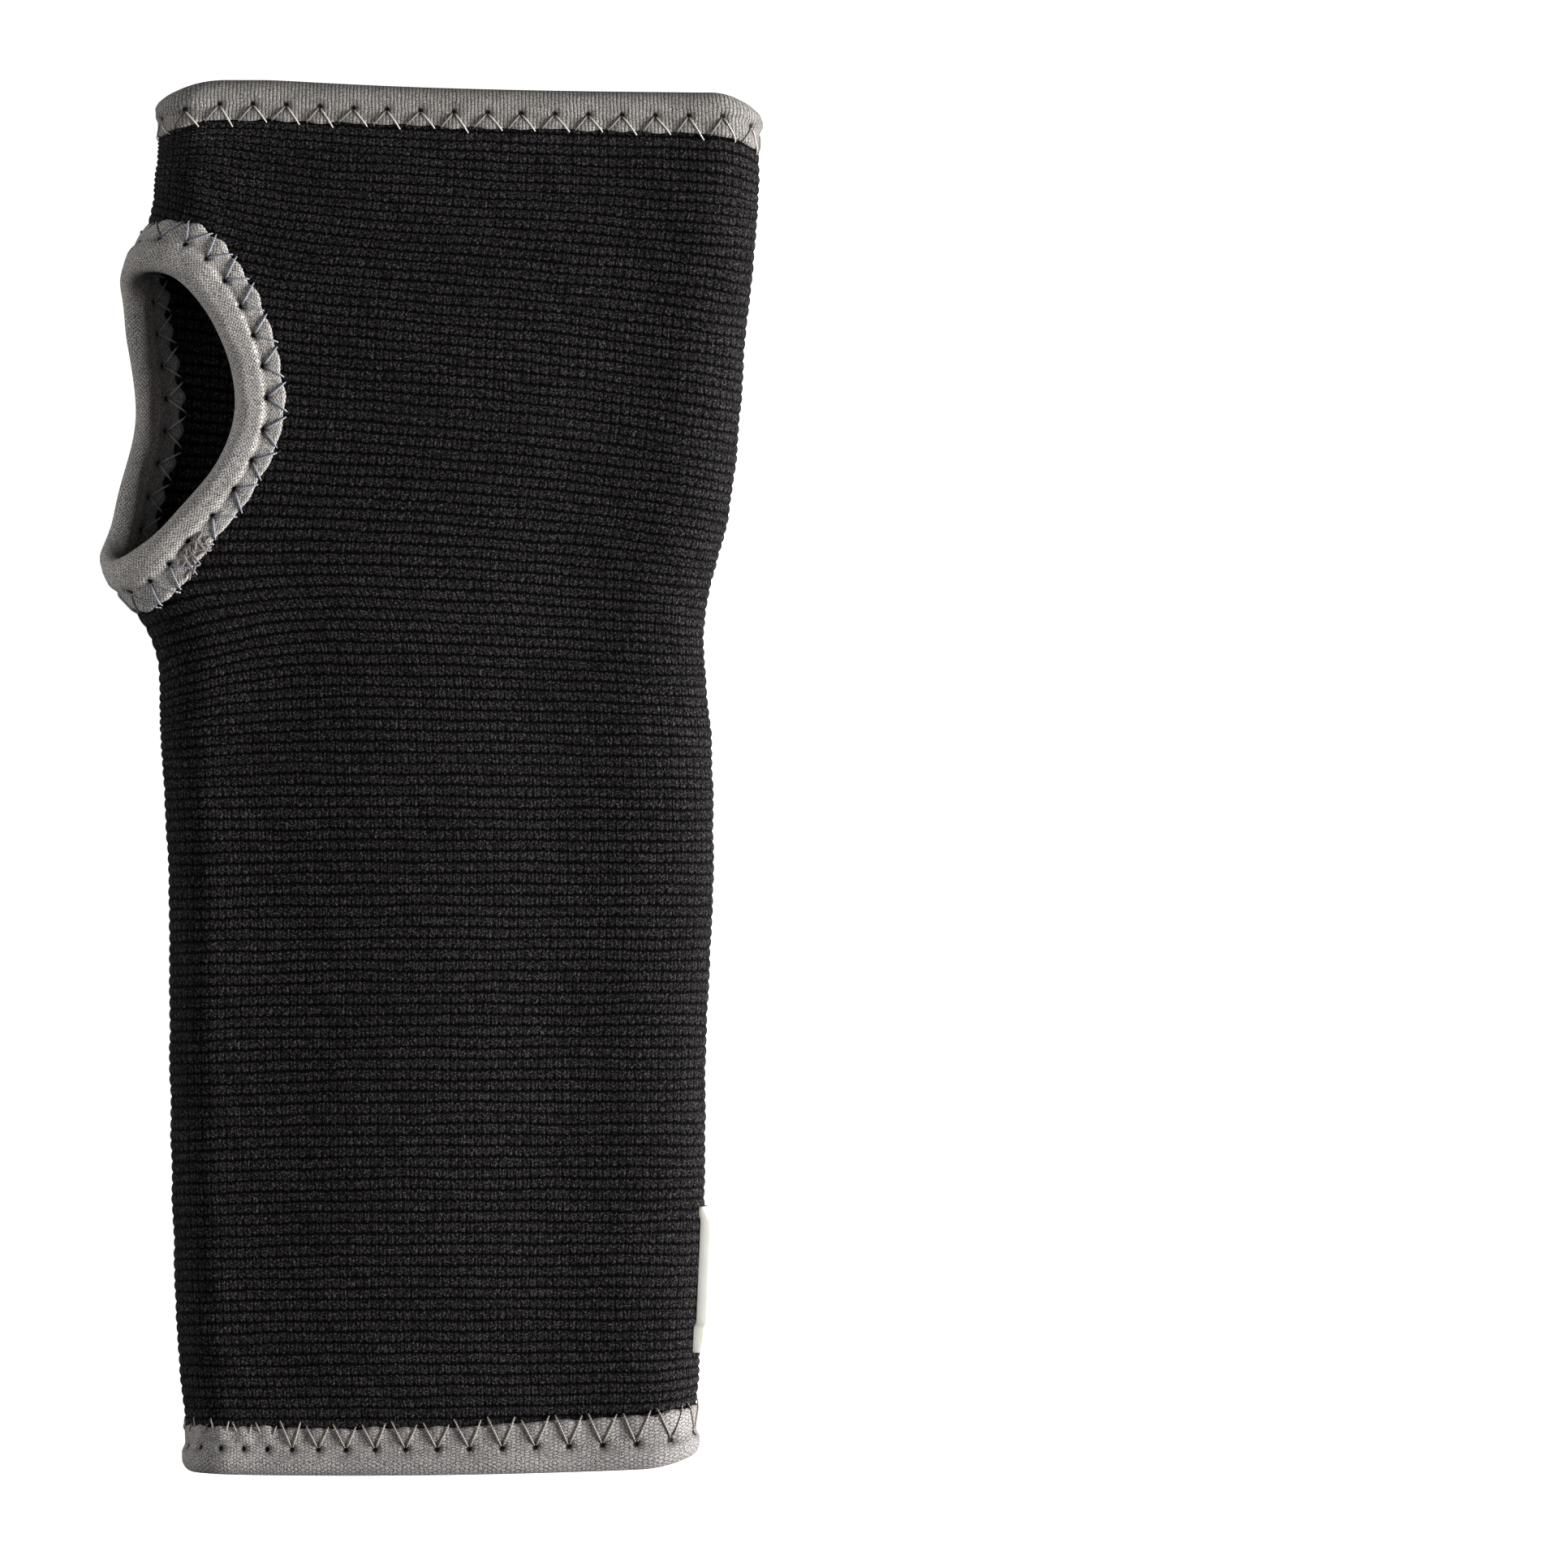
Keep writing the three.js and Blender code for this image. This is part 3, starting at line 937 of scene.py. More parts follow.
@dataclass(frozen=True)
class KnitFinish(Finish):
    """Black elastic yarn, matt and fuzzy, with painted shade in the gaps between its stitches."""

    yarn: Colour = (0.0775, 0.0698, 0.0734)
    # The darkest tone: dark fibres, and the painted shade in the gaps
    deep: Colour = (0.0010, 0.0009, 0.0010)
    contrast: float = 4.0
    open_from: float = 84.0
    open_to: float = 100.0
    relief: float = 0.00022
    clouds: float = 55.0
    cloud_tones: tuple[float, ...] = (0.3, 0.7, 0.86, 1.08)
    roughness: Span = (0.96, 0.84)

    def wire(self, plan: NodePlan) -> dict[str, object]:
        """Paint shade into the gaps between stitches and speckle the yarn with its fibres.

        Args:
            plan: The material's nodes.

        Returns:
            A value or signal for each input of the shader that it sets.
        """
        place = plan.place()
        counted = plan.take("ShaderNodeUVMap", uv_map=KnitTube.MAP)
        stitch = RibStitch().put(
            plan, Map=counted, Place=place, Open_From=self.open_from, Open_To=self.open_to
        )
        cloud = plan.ease(plan.noise(place, self.clouds, detail=3.0), *self.cloud_tones)
        return {
            "Base Color": plan.blend(stitch["Tone"] ** self.contrast * cloud, self.deep, self.yarn),
            "Normal": plan.bump(stitch["Height"], self.relief, strength=0.8),
            "Roughness": plan.ease(stitch["Tone"], 0.0, 1.0, *self.roughness),
            "Specular IOR Level": 0.02,
            "Sheen Weight": 0.13,
            "Sheen Roughness": 0.4,
        }


@dataclass(frozen=True)
class TapeFinish(Finish):
    """Grey woven binding tape with needle holes and pale floats along its stitch line, with painted shade
    round the holes and on its inner leg.
    """

    line: float = 0.0034
    pitch: float = 0.0049
    column: float = 0.00054
    dash: float = 0.00041
    cord: float = 0.6
    light: Colour = (0.37, 0.348, 0.325)
    dark: Colour = (0.030, 0.028, 0.027)
    pit: Colour = (0.004, 0.004, 0.004)
    hole: float = 0.00040
    # Painted shade: how far the colour darkens round each needle hole
    hole_painted_shade: float = 0.35
    # Painted shade on the inner leg: how far its colour is darkened, and the span across the cloth over which
    # this fades in
    inner_painted_shade: float = 0.8
    inner_from: Span = (-0.0022, 0.0012)
    cloud_tones: tuple[float, ...] = (0.25, 0.75, 0.84, 1.12)
    float_colour: Colour = (0.78, 0.70, 0.60)
    floats: float = 0.0
    float_pitch: float = 0.0006
    float_length: Span = (0.62, 0.30)
    float_set_back: float = 0.00040
    float_band: Span = (0.00026, 0.00012)
    float_fade: float = 0.006
    float_clumps: tuple[float, ...] = (1100.0, 0.44, 0.58)
    floats_between: float = 0.0
    floats_from: float = 0.0
    floats_to: float = 0.0
    relief: float = 0.00016
    roughness: tuple[float, ...] = (0.1, 0.9, 0.92, 0.78)

    def wire(self, plan: NodePlan) -> dict[str, object]:
        """Lay the weave, the needle holes with the painted shade round them, and the pale floats over one
        another, and paint shade on the inner leg.

        Args:
            plan: The material's nodes.

        Returns:
            A value or signal for each input of the shader that it sets.
        """
        place = plan.place()
        mapped = plan.take("ShaderNodeUVMap", uv_map=BindingTape.MAP)
        along, across = plan.split(mapped)
        weave = TapeWeave().put(
            plan, Map=mapped, Place=place, Column=self.column, Dash=self.dash, Cord=self.cord
        )
        needle = NeedleLine().put(plan, Map=mapped, Line=self.line, Pitch=self.pitch, Hole=self.hole)
        cloud = plan.ease(weave["Cloud"], *self.cloud_tones)
        # Painted shade: the inner leg and part of the rolled edge are darkened in colour
        inner = plan.ease(across, *self.inner_from, self.inner_painted_shade, 1.0)
        cloth = plan.blend(weave["Thread"] * cloud * inner, self.dark, self.light)
        if self.floats:
            shown = plan.math("MAXIMUM", needle["Near"], self.floats_between)
            outer = plan.math("GREATER_THAN", across, 0.0)
            ticks = self._float_mask(plan, along, place, needle["From Line"]) * outer * shown
            cloth = plan.blend(ticks, cloth, self.float_colour)
        # Painted shade in the dimple round each needle hole
        shaded = plan.blend(needle["Near"] * self.hole_painted_shade, cloth, self.dark)
        return {
            "Base Color": plan.blend(needle["Hole"], shaded, self.pit),
            "Normal": plan.bump(weave["Height"], self.relief, strength=0.8),
            "Roughness": plan.ease(weave["Thread"], *self.roughness),
            "Specular IOR Level": 0.25,
            "Sheen Weight": 0.10,
            "Sheen Roughness": 0.4,
        }

    def _float_mask(self, plan: NodePlan, along: Signal, place: Signal, from_line: Signal) -> Signal:
        """Show short pale threads beside the stitch line, over one stretch of the tape.

        Args:
            plan: The material's nodes.
            along: Place along the tape.
            place: Object coordinates.
            from_line: Distance from the stitch line.

        Returns:
            How much of the pale thread shows.
        """
        scale, *clump = self.float_clumps
        tick = plan.ease(plan.edge(along / self.float_pitch), *self.float_length)
        band = plan.ease(abs(from_line + self.float_set_back), *self.float_band)
        start = plan.ease(along, self.floats_from, self.floats_from + self.float_fade)
        stop = plan.ease(along, self.floats_to, self.floats_to - self.float_fade)
        some = plan.ease(plan.noise(place, scale, detail=1.0), *clump)
        return tick * band * start * stop * some * self.floats


@dataclass(frozen=True)
class ThreadFinish(Finish):
    """Twisted sewing thread, with some stitches faint from wear."""

    light: Colour = (0.72, 0.66, 0.60)
    dark: Colour = (0.28, 0.25, 0.22)
    worn: Colour = (0.10, 0.085, 0.075)
    wear: float = 0.75
    twists: float = 2.2
    strand: Span = (0.2, 0.9)
    relief: float = 0.00005

    def wire(self, plan: NodePlan) -> dict[str, object]:
        """Stripe the thread with its twist.

        Args:
            plan: The material's nodes.

        Returns:
            A value or signal for each input of the shader that it sets.
        """
        along, around = plan.split(plan.take("ShaderNodeUVMap", uv_map=ZigzagSeam.MAP))
        twist = plan.edge(along * self.twists + around)
        striped = plan.blend(plan.ease(twist, *self.strand), self.light, self.dark)
        faint = plan.math("GREATER_THAN", along, ZigzagSeam.FAINT_MAP / 2)
        return {
            "Base Color": plan.blend(faint * self.wear, striped, self.worn),
            "Normal": plan.bump(twist, self.relief, strength=0.6),
            "Roughness": 0.42,
            "Specular IOR Level": 0.5,
        }


@dataclass(frozen=True)
class RubberFinish(Finish):
    """Off-white moulded rubber, satin."""

    tone: Colour = (0.66, 0.65, 0.60)
    soil: Colour = (0.58, 0.57, 0.51)
    clouds: float = 260.0
    cloud_range: Span = (0.35, 0.75)
    grains: float = 3800.0
    relief: float = 0.00003
    roughness: tuple[float, ...] = (0.3, 0.7, 0.42, 0.55)

    def wire(self, plan: NodePlan) -> dict[str, object]:
        """Cloud the rubber a little and give it a fine skin.

        Args:
            plan: The material's nodes.

        Returns:
            A value or signal for each input of the shader that it sets.
        """
        place = plan.place()
        cloud = plan.ease(plan.noise(place, self.clouds, detail=4.0), *self.cloud_range)
        skin = plan.noise(place, self.grains, detail=2.0)
        return {
            "Base Color": plan.blend(cloud, self.tone, self.soil),
            "Normal": plan.bump(skin, self.relief, strength=0.5),
            "Roughness": plan.ease(skin, *self.roughness),
            "Subsurface Weight": 0.15,
            "Subsurface Radius": (0.0012, 0.0010, 0.0008),
            "Subsurface Scale": 0.4,
        }


@dataclass(frozen=True)
class FloorFinish(Finish):
    """Plain pale floor that glows like a lit studio sweep."""

    first: Colour = (0.80, 0.80, 0.80)
    second: Colour = (0.83, 0.83, 0.83)
    clouds: float = 8.0
    cloud_range: Span = (0.2, 0.8)

    def wire(self, plan: NodePlan) -> dict[str, object]:
        """Cloud the floor faintly.

        Args:
            plan: The material's nodes.

        Returns:
            A value or signal for each input of the shader that it sets.
        """
        cloud = plan.ease(plan.noise(plan.place(), self.clouds, detail=2.0), *self.cloud_range)
        return {
            "Base Color": plan.blend(cloud, self.first, self.second),
            "Roughness": 0.9,
            "Specular IOR Level": 0.1,
            "Emission Color": (1.0, 1.0, 1.0),
            "Emission Strength": 0.86,
        }


def settle(piece: bpy.types.Object, finish: Finish) -> None:
    """Dress a piece, let it ride on the part's one body, and log it.

    Args:
        piece: The object.
        finish: Its finish.
    """
    finish.dress(piece)
    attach(piece, BODY)
    log.info("%s: %d faces", piece.name, len(piece.data.polygons))


class KnitZone(Enum):
    """The lengths that the knit is made in, from the forearm to the hand."""

    FOREARM = "knit_forearm"
    WRIST = "knit_wrist"
    THUMB = "knit_thumb"
    HAND = "knit_hand"


class RibDraw(NamedTuple):
    """A place where the tube's cut draws its ribs off level, more and more towards one fold."""

    start: float
    side: int
    reach: float
    amount: float
    middle: float
    spread: float


RIB_DRAWS = (
    RibDraw(-0.012, -1, 0.026, -0.0040, 0.020, 0.013),
    RibDraw(0.000, -1, 0.040, -0.0011, -0.050, 0.060),
    RibDraw(-0.010, 1, 0.050, -0.0032, 0.056, 0.036),
    RibDraw(0.010, -1, 0.050, 0.0030, 0.072, 0.028),
    RibDraw(-0.014, -1, 0.024, 0.0020, 0.079, 0.011),
)

# How far the ribs of the palm lean, and where along the tube
RIB_LEAN = -0.038
LEAN_MIDDLE = 0.055
LEAN_SPREAD = 0.045

# Places along the tube and the distance from rib to rib there
RIB_PITCHES = ((-0.103, 0.0016), (0.040, 0.0016), (0.060, 0.00150), (0.074, 0.00146), (0.103, 0.00146))


@dataclass
class KnitTube:
    """The black ribbed knit: four lengths of its outer face, and its inner face."""

    MAP = "stitches"
    RIB_ROWS = 4
    WALE_COLUMNS = 4
    LEVEL_STEPS = 2001

    surface: SleeveSurface
    rim: ThumbRim
    finish: KnitFinish
    wales: int = 148
    rib_rise: tuple[float, ...] = (-0.00014, 0.00002, 0.00007, 0.00002)
    wale_rise: tuple[float, ...] = (-0.00008, 0.00003, -0.00004, 0.00003)
    chevron: tuple[float, ...] = (0.00011, 0.0, -0.00011, 0.0)
    inner_rise: Span = (0.00025, -0.0001)
    uneven_ribs: Unevenness = Unevenness(0.00010, 5, (0.012, 0.007))
    uneven_face: Unevenness = Unevenness(0.00006, 9, (0.010, 0.004))
    pressed: float = -0.0002
    under_tape: float = 0.0006
    under_rim: float = 0.0008
    edge: float = 0.1008
    level_ends: Span = (0.090, 0.1005)

    def build(self) -> list[bpy.types.Object]:
        """Make every length of the knit.

        Returns:
            The pieces, from the forearm to the hand, and then the inner face.
        """
        levels, places = self._rib_levels()
        cuts = np.linspace(0, math.floor(levels[-1]), len(KnitZone) + 1).astype(int)
        pieces = []
        for zone, first, last in zip(KnitZone, cuts[:-1], cuts[1:]):
            pieces.append(self._outer(zone, first, last, levels, places))
        pieces.append(self._inner(int(cuts[-1]), levels, places))
        return pieces

    def _rib_levels(self) -> tuple[Array, Array]:
        """Count the ribs from the forearm edge to the hand edge, over fine steps along the tube.

        Returns:
            The counts, and the places that they belong to.
        """
        places = np.linspace(-self.edge, self.edge, self.LEVEL_STEPS)
        pitches = np.interp(places, *np.array(RIB_PITCHES).T)
        levels = np.concatenate([[0.0], np.cumsum(np.diff(places) / ((pitches[1:] + pitches[:-1]) / 2))])
        return levels * math.floor(levels[-1]) / levels[-1], places

    def _drawn(self, along: Array, share: Array) -> Array:
        """Move places along the tube to where the cut of the tube draws the ribs.

        Args:
            along: Places along the tube, if its ribs were level.
            share: Places round it.

        Returns:
            The drawn places along the tube.
        """
        across = self.surface.place(along, share, 0.0)[..., 0]
        shift = RIB_LEAN * across * np.exp(-(((along - LEAN_MIDDLE) / LEAN_SPREAD) ** 2))
        for draw in RIB_DRAWS:
            beyond = np.maximum(0.0, (across - draw.start) * draw.side) / draw.reach
            shift += draw.amount * beyond**2 * np.exp(-(((along - draw.middle) / draw.spread) ** 2))
        shift += self.uneven_ribs.over(share, along)
        return along + shift * (1 - smoothstep(np.abs(along), *self.level_ends))

    def _outer(self, zone: KnitZone, first: int, last: int, levels: Array, places: Array) -> bpy.types.Object:
        """Make one length of the outer face.

        Args:
            zone: Which length.
            first: Its first rib.
            last: The rib after its last one.
            levels: Rib counts along the tube.
            places: Where those counts are.

        Returns:
            The piece, dressed and riding.
        """
        ribs = np.arange((last - first) * self.RIB_ROWS + 1) / self.RIB_ROWS + first
        columns = self.wales * self.WALE_COLUMNS
        share = (np.arange(columns) / columns)[None, :]
        level = np.interp(ribs, levels, places)[:, None]
        along = self._drawn(level, share)
        wale_part = np.arange(columns) % self.WALE_COLUMNS
        rib_part = np.arange(len(ribs)) % self.RIB_ROWS
        height = np.array(self.rib_rise)[rib_part][:, None] + np.array(self.wale_rise)[wale_part][None, :]
        height = height + self.uneven_face.over(share, level)
        covered = self.rim.covers(along, np.broadcast_to(share, along.shape), THUMB_TAPE - self.under_tape)
        for end in (HAND_END, FOREARM_END):
            covered |= end.side * level > end.peak - end.tape + self.under_tape
        height = np.where(covered, np.minimum(height, self.pressed), height)
        along = along + np.array(self.chevron)[wale_part][None, :]
        points = self.surface.place(along, share, height)
        piece = self._ring(zone.value, points, along, (self.wales / columns, ribs), False)
        self._declare(float(level[-1, 0] - level[0, 0]), float(level.mean()))
        return piece

    def _inner(self, last: int, levels: Array, places: Array) -> bpy.types.Object:
        """Make the inner face, with its ribs and no single stitches.

        Args:
            last: The rib after its last one.
            levels: Rib counts along the tube.
            places: Where those counts are.

        Returns:
            The piece, dressed and declared.
        """
        ribs = np.arange(last * 2 + 1) / 2
        share = (np.arange(self.wales) / self.wales)[None, :]
        level = np.interp(ribs, levels, places)[:, None]
        along = self._drawn(level, share)
        rise = np.array(self.inner_rise)[np.arange(len(ribs)) % 2][:, None]
        points = self.surface.place(along, share, -KNIT_WALL + rise)
        piece = self._ring("knit_inside", points, along, (1.0, ribs), True)
        self._declare(2 * self.edge, 0.0)
        return piece

    def _ring(
        self, name: str, points: Array, along: Array, steps: tuple[float, Array], inside: bool
    ) -> bpy.types.Object:
        """Make a ring of knit with the thumb hole left out.

        Args:
            name: The piece's name.
            points: Its grid of points.
            along: Place along the tube of each point.
            steps: Wales from column to column, and the rib count of each row.
            inside: Whether the face looks into the tube.

        Returns:
            The piece, dressed and riding.
        """
        rows, columns = points.shape[:2]
        row, column = ring_corners(rows, columns, False)
        quads = row * columns + column % columns
        middle_along = along.reshape(-1)[quads].mean(axis=1)
        middle_share = (column[:, 0] + 0.5) / columns
        kept = ~self.rim.covers(middle_along, middle_share, CUT_SET_BACK + self.under_rim)
        uv = np.stack([column * steps[0], steps[1][row]], axis=-1)
        quads, uv = quads[kept], uv[kept]
        if inside:
            quads, uv = quads[:, ::-1], uv[:, ::-1]
        piece = make_piece(name, points.reshape(-1, 3), quads, uv, self.MAP)
        settle(piece, self.finish)
        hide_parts("sleeve")
        return piece

    def _declare(self, length: float, middle: float) -> None:
        """Measure the distance round the tube at the middle of a length of knit, and keep nothing."""
        width = float(self.surface.length(np.array(middle)))


class TapeRoute(ABC):
    """The line that a binding tape follows on the tube's face."""

    @abstractmethod
    def spot(self, turn: Array, inward: Array) -> tuple[Array, Array]:
        """Find places on the face.

        Args:
            turn: Places round the tape, from 0 to 1.
            inward: Distances from the finished edge, in metres.

        Returns:
            Places along the tube, and shares of the way round it.
        """

    @abstractmethod
    def length(self, inward: float) -> float:
        """Give the tape's length at a distance from the finished edge."""


@dataclass
class EndRoute(TapeRoute):
    """Round an open end of the tube."""

    surface: SleeveSurface
    end: TubeEnd

    def spot(self, turn: Array, inward: Array) -> tuple[Array, Array]:
        """Find places on the face round this end."""
        return np.broadcast_arrays(self.end.side * (self.end.peak - inward), turn)

    def length(self, inward: float) -> float:
        """Give the distance round the tube there."""
        return float(self.surface.length(np.array(self.end.side * (self.end.peak - inward))))


@dataclass
class RimRoute(TapeRoute):
    """Round the thumb hole, in even steps on a line at a distance from its rim."""

    TURNS = 720

    surface: SleeveSurface
    rim: ThumbRim
    even_at: float = 0.0060

    def spot(self, turn: Array, inward: Array) -> tuple[Array, Array]:
        """Find places on the face round the thumb hole.

        Args:
            turn: Places round the tape, from 0 to 1.
            inward: Distances from the rim, in metres.

        Returns:
            Places along the tube, and shares of the way round it.
        """
        turn, inward = np.broadcast_arrays(turn, inward)
        even = np.concatenate([self.rim.even_shares(self.TURNS, self.even_at), [1.0]])
        share = np.interp(np.mod(turn, 1.0), np.linspace(0.0, 1.0, self.TURNS + 1), even)
        around, along = self.rim.offset(share, inward)
        return along, around / self.surface.length(along)

    def length(self, inward: float) -> float:
        """Give the length of the line at that distance from the rim."""
        line = np.stack(self.rim.offset(np.linspace(0.0, 1.0, self.TURNS + 1), inward), axis=-1)
        return float(distances_along(line)[-1])


@dataclass
class BindingTape:
    """A woven tape folded over a cut edge: a rolled edge, a sewn line and a flange on each face."""

    MAP = "tape"
    STITCH_COLUMNS = 12
    CROWN_STEPS = 13
    WALL_STEPS = 5
    FINGER_FOLD = 0.49
    FOLD_RISE = 0.68
    CROWD_REACH = 0.14

    # Where the rolled edge falls to the flange, from the stitch line, and how the edge wavers
    SHOULDER = (-0.0010, 0.0005)
    CROWN_WAVER, CROWN_WAVES = 0.00010, (5, 11, 17)
    # Reach of the sewn line's dip, and how uneven it is
    SEWN_REACH, SEWN_PLAY, SEWN_WAVES = 0.00045, 0.25, (7, 13)
    # Puckers of the flange between stitches, and where they begin, from the stitch line
    PUCKER, PUCKER_FROM = 0.00012, (0.0002, 0.0016)
    # Share of a needle's dip that is left on the side of a fold
    FOLD_NEEDLE = 0.3
    # How the flange's edge wavers, how thin it is, and how far the inner wall reaches
    EDGE_WAVER, EDGE_WAVES = 0.00016, (3, 8, 19, 31)
    EDGE_THIN, WALL_END = 0.35, 0.0012

    name: str
    node: str
    surface: SleeveSurface
    route: TapeRoute
    finish: TapeFinish
    width: float
    line: float
    stitches: int
    seed: int
    roll: float = 0.0021
    proud: float = 0.00115
    flange: float = 0.00062
    sewn_dip: float = 0.00024
    needle_dip: float = 0.00055
    needle_reach: float = 0.00050
    scallop: float = 0.00024
    inner_draw: float = 1.0
    hidden: float = 0.00005
    step: float = 0.00030
    phase: float = 0.0
    crowding: float = 0.0
    flare: float = 0.0
    flare_reach: float = 0.1

    def pitch(self) -> float:
        """Give the mean distance from stitch to stitch."""
        return self.route.length(self.line) / self.stitches

    def height(self, turn: Array, inward: Array) -> Array:
        """Give how far the tape's face stands off the knit's.

        Args:
            turn: Places round the tape, from 0 to 1.
            inward: Distances from the finished edge, in metres.

        Returns:
            The distances, in metres.
        """
        turn, inward = np.broadcast_arrays(turn, inward)
        stitch = self.stitch_at(turn)
        sideways = (np.mod(stitch + 0.5, 1.0) - 0.5) * self.pitch()
        away = inward - self.line
        flat = self.surface.level(*self.route.spot(turn, inward))
        level = self.crown_rise(turn) + (self.flange - self.proud) * smoothstep(away, *self.SHOULDER)
        level = level + self.CROWN_WAVER * wander(turn, self.seed, self.CROWN_WAVES) * (away < 0)
        play = 1.0 - self.SEWN_PLAY + self.SEWN_PLAY * wander(turn, self.seed + 1, self.SEWN_WAVES)
        sewn = self.sewn_dip * np.exp(-((away / self.SEWN_REACH) ** 2)) * play
        needle = self.needle_dip * np.exp(-(sideways**2 + away**2) / self.needle_reach**2)
        pucker = self.PUCKER * np.cos(WHOLE_TURN * stitch) * smoothstep(away, *self.PUCKER_FROM)
        return level + flat * (pucker - sewn) - (self.FOLD_NEEDLE + (1.0 - self.FOLD_NEEDLE) * flat) * needle

    def stitch_at(self, turn: Array) -> Array:
        """Count the stitches up to places round the tape, closer together at the thumb-side fold.

        Args:
            turn: Places round the tape, from 0 to 1.

        Returns:
            The counts, whole at the needle holes.
        """
        near = np.mod(turn + 0.5, 1.0) - 0.5
        crowd = np.tanh(near / self.CROWD_REACH) - 2.0 * near * math.tanh(0.5 / self.CROWD_REACH)
        return turn * self.stitches - self.phase + self.crowding * crowd

    def crown_rise(self, turn: Array) -> Array:
        """Give how far the rolled edge stands off the knit, less where it is drawn tight round a fold."""
        flat = self.surface.level(*self.route.spot(turn, np.full(turn.shape, self.line)))
        return self.proud * (self.FOLD_RISE + (1.0 - self.FOLD_RISE) * flat)

    def pull(self, turn: Array, inward: Array, deeper: Array | float = 1.0) -> Array:
        """Give where the flange's cloth lies after the stitches have drawn its edge in.

        Args:
            turn: Places round the tape, from 0 to 1.
            inward: Distances from the finished edge before that, in metres.
            deeper: How many times deeper than on the outer leg the edge is drawn in.

        Returns:
            The distances from the finished edge after that.
        """
        flange = np.clip((inward - self.line) / (self.width - self.line), 0.0, 1.0)
        drawn = self.scallop * deeper * (0.5 - 0.5 * np.cos(WHOLE_TURN * self.stitch_at(turn)))
        uneven = self.EDGE_WAVER * wander(turn, self.seed + 2, self.EDGE_WAVES)
        wider = self.flare * np.exp(-(((turn - self.FINGER_FOLD) / self.flare_reach) ** 2))
        return inward - flange * (drawn + uneven - wider)

    def build(self) -> bpy.types.Object:
        """Make the tape as one closed ring.

        Returns:
            The piece, dressed and declared.
        """
        inward, height_of, cloth, deeper = self._profile()
        columns = self.stitches * self.STITCH_COLUMNS
        turn = (np.arange(columns) / columns)[None, :]
        along, share = self.route.spot(turn, self.pull(turn, inward[:, None], deeper[:, None]))
        points = self.surface.place(along, share, height_of(turn)).reshape(-1, 3)
        row, column = ring_corners(len(inward), columns, True)
        quads = row % len(inward) * columns + column % columns
        uv = np.stack([self.stitch_at(column / columns) * self.pitch(), cloth[row % len(inward)]], axis=-1)
        piece = make_piece(self.name, points, *self._face_out(points, quads, uv), self.MAP)
        settle(piece, replace(self.finish, line=self.line, pitch=self.pitch()))
        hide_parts(self.node)
        folded = 2 * self.width + KNIT_WALL
        self.route.length(self.line)
        return piece

    def _profile(self) -> tuple[Array, Callable[[Array], Array], Array, Array]:
        """Draw the folded tape's section.

        Returns:
            Distances in from the finished edge, a function that gives each one's height round the tape, each
            one's place across the flat cloth, which is negative on the inner leg, and how much deeper its
            edge is drawn in.
        """
        leg = np.linspace(self.width, self.roll, round((self.width - self.roll) / self.step))
        angles = np.radians(np.linspace(90.0, -90.0, self.CROWN_STEPS))[1:-1]
        crown = self.roll * (1 - np.cos(angles))
        inner_wall = np.linspace(self.width, self.WALL_END, self.WALL_STEPS)
        inward = np.concatenate([leg, crown, leg[::-1], inner_wall, inner_wall[::-1]])
        thin = np.where(np.isclose(leg, self.width), self.EDGE_THIN, 1.0)
        crown_cloth = np.linspace(self.roll, -self.roll, self.CROWN_STEPS)[1:-1]
        cloth = np.concatenate([leg, crown_cloth, -leg[::-1], -inner_wall, inner_wall[::-1]])
        deeper = np.where(cloth < 0, self.inner_draw, 1.0)

        def heights(turn: Array) -> Array:
            """Give the height of every point of the section round the tape.

            Args:
                turn: Places round the tape, from 0 to 1, as one row.

            Returns:
                A row of heights for each point.
            """
            outer = self.height(turn, leg[:, None]) * thin[:, None]
            inner = -KNIT_WALL - outer[::-1]
            rolled = -KNIT_WALL / 2 + (KNIT_WALL / 2 + self.crown_rise(turn)) * np.sin(angles)[:, None]
            low = np.full((len(inner_wall), turn.shape[1]), -KNIT_WALL - self.hidden)
            high = np.full((len(inner_wall), turn.shape[1]), self.hidden)
            return np.concatenate([outer, rolled, inner, low, high])

        return inward, heights, cloth, deeper

    @staticmethod
    def _face_out(points: Array, quads: Array, uv: Array) -> tuple[Array, Array]:
        """Turn a closed shell's faces outwards if they look in.

        Args:
            points: The shell's points.
            quads: Four point numbers for each face.
            uv: The map of each face corner.

        Returns:
            The quads and the map, facing out.
        """
        a, b, c, d = (points[quads[:, index]] for index in range(4))
        volume = (a * np.cross(b, c)).sum() + (a * np.cross(c, d)).sum()
        return (quads, uv) if volume > 0 else (quads[:, ::-1], uv[:, ::-1])


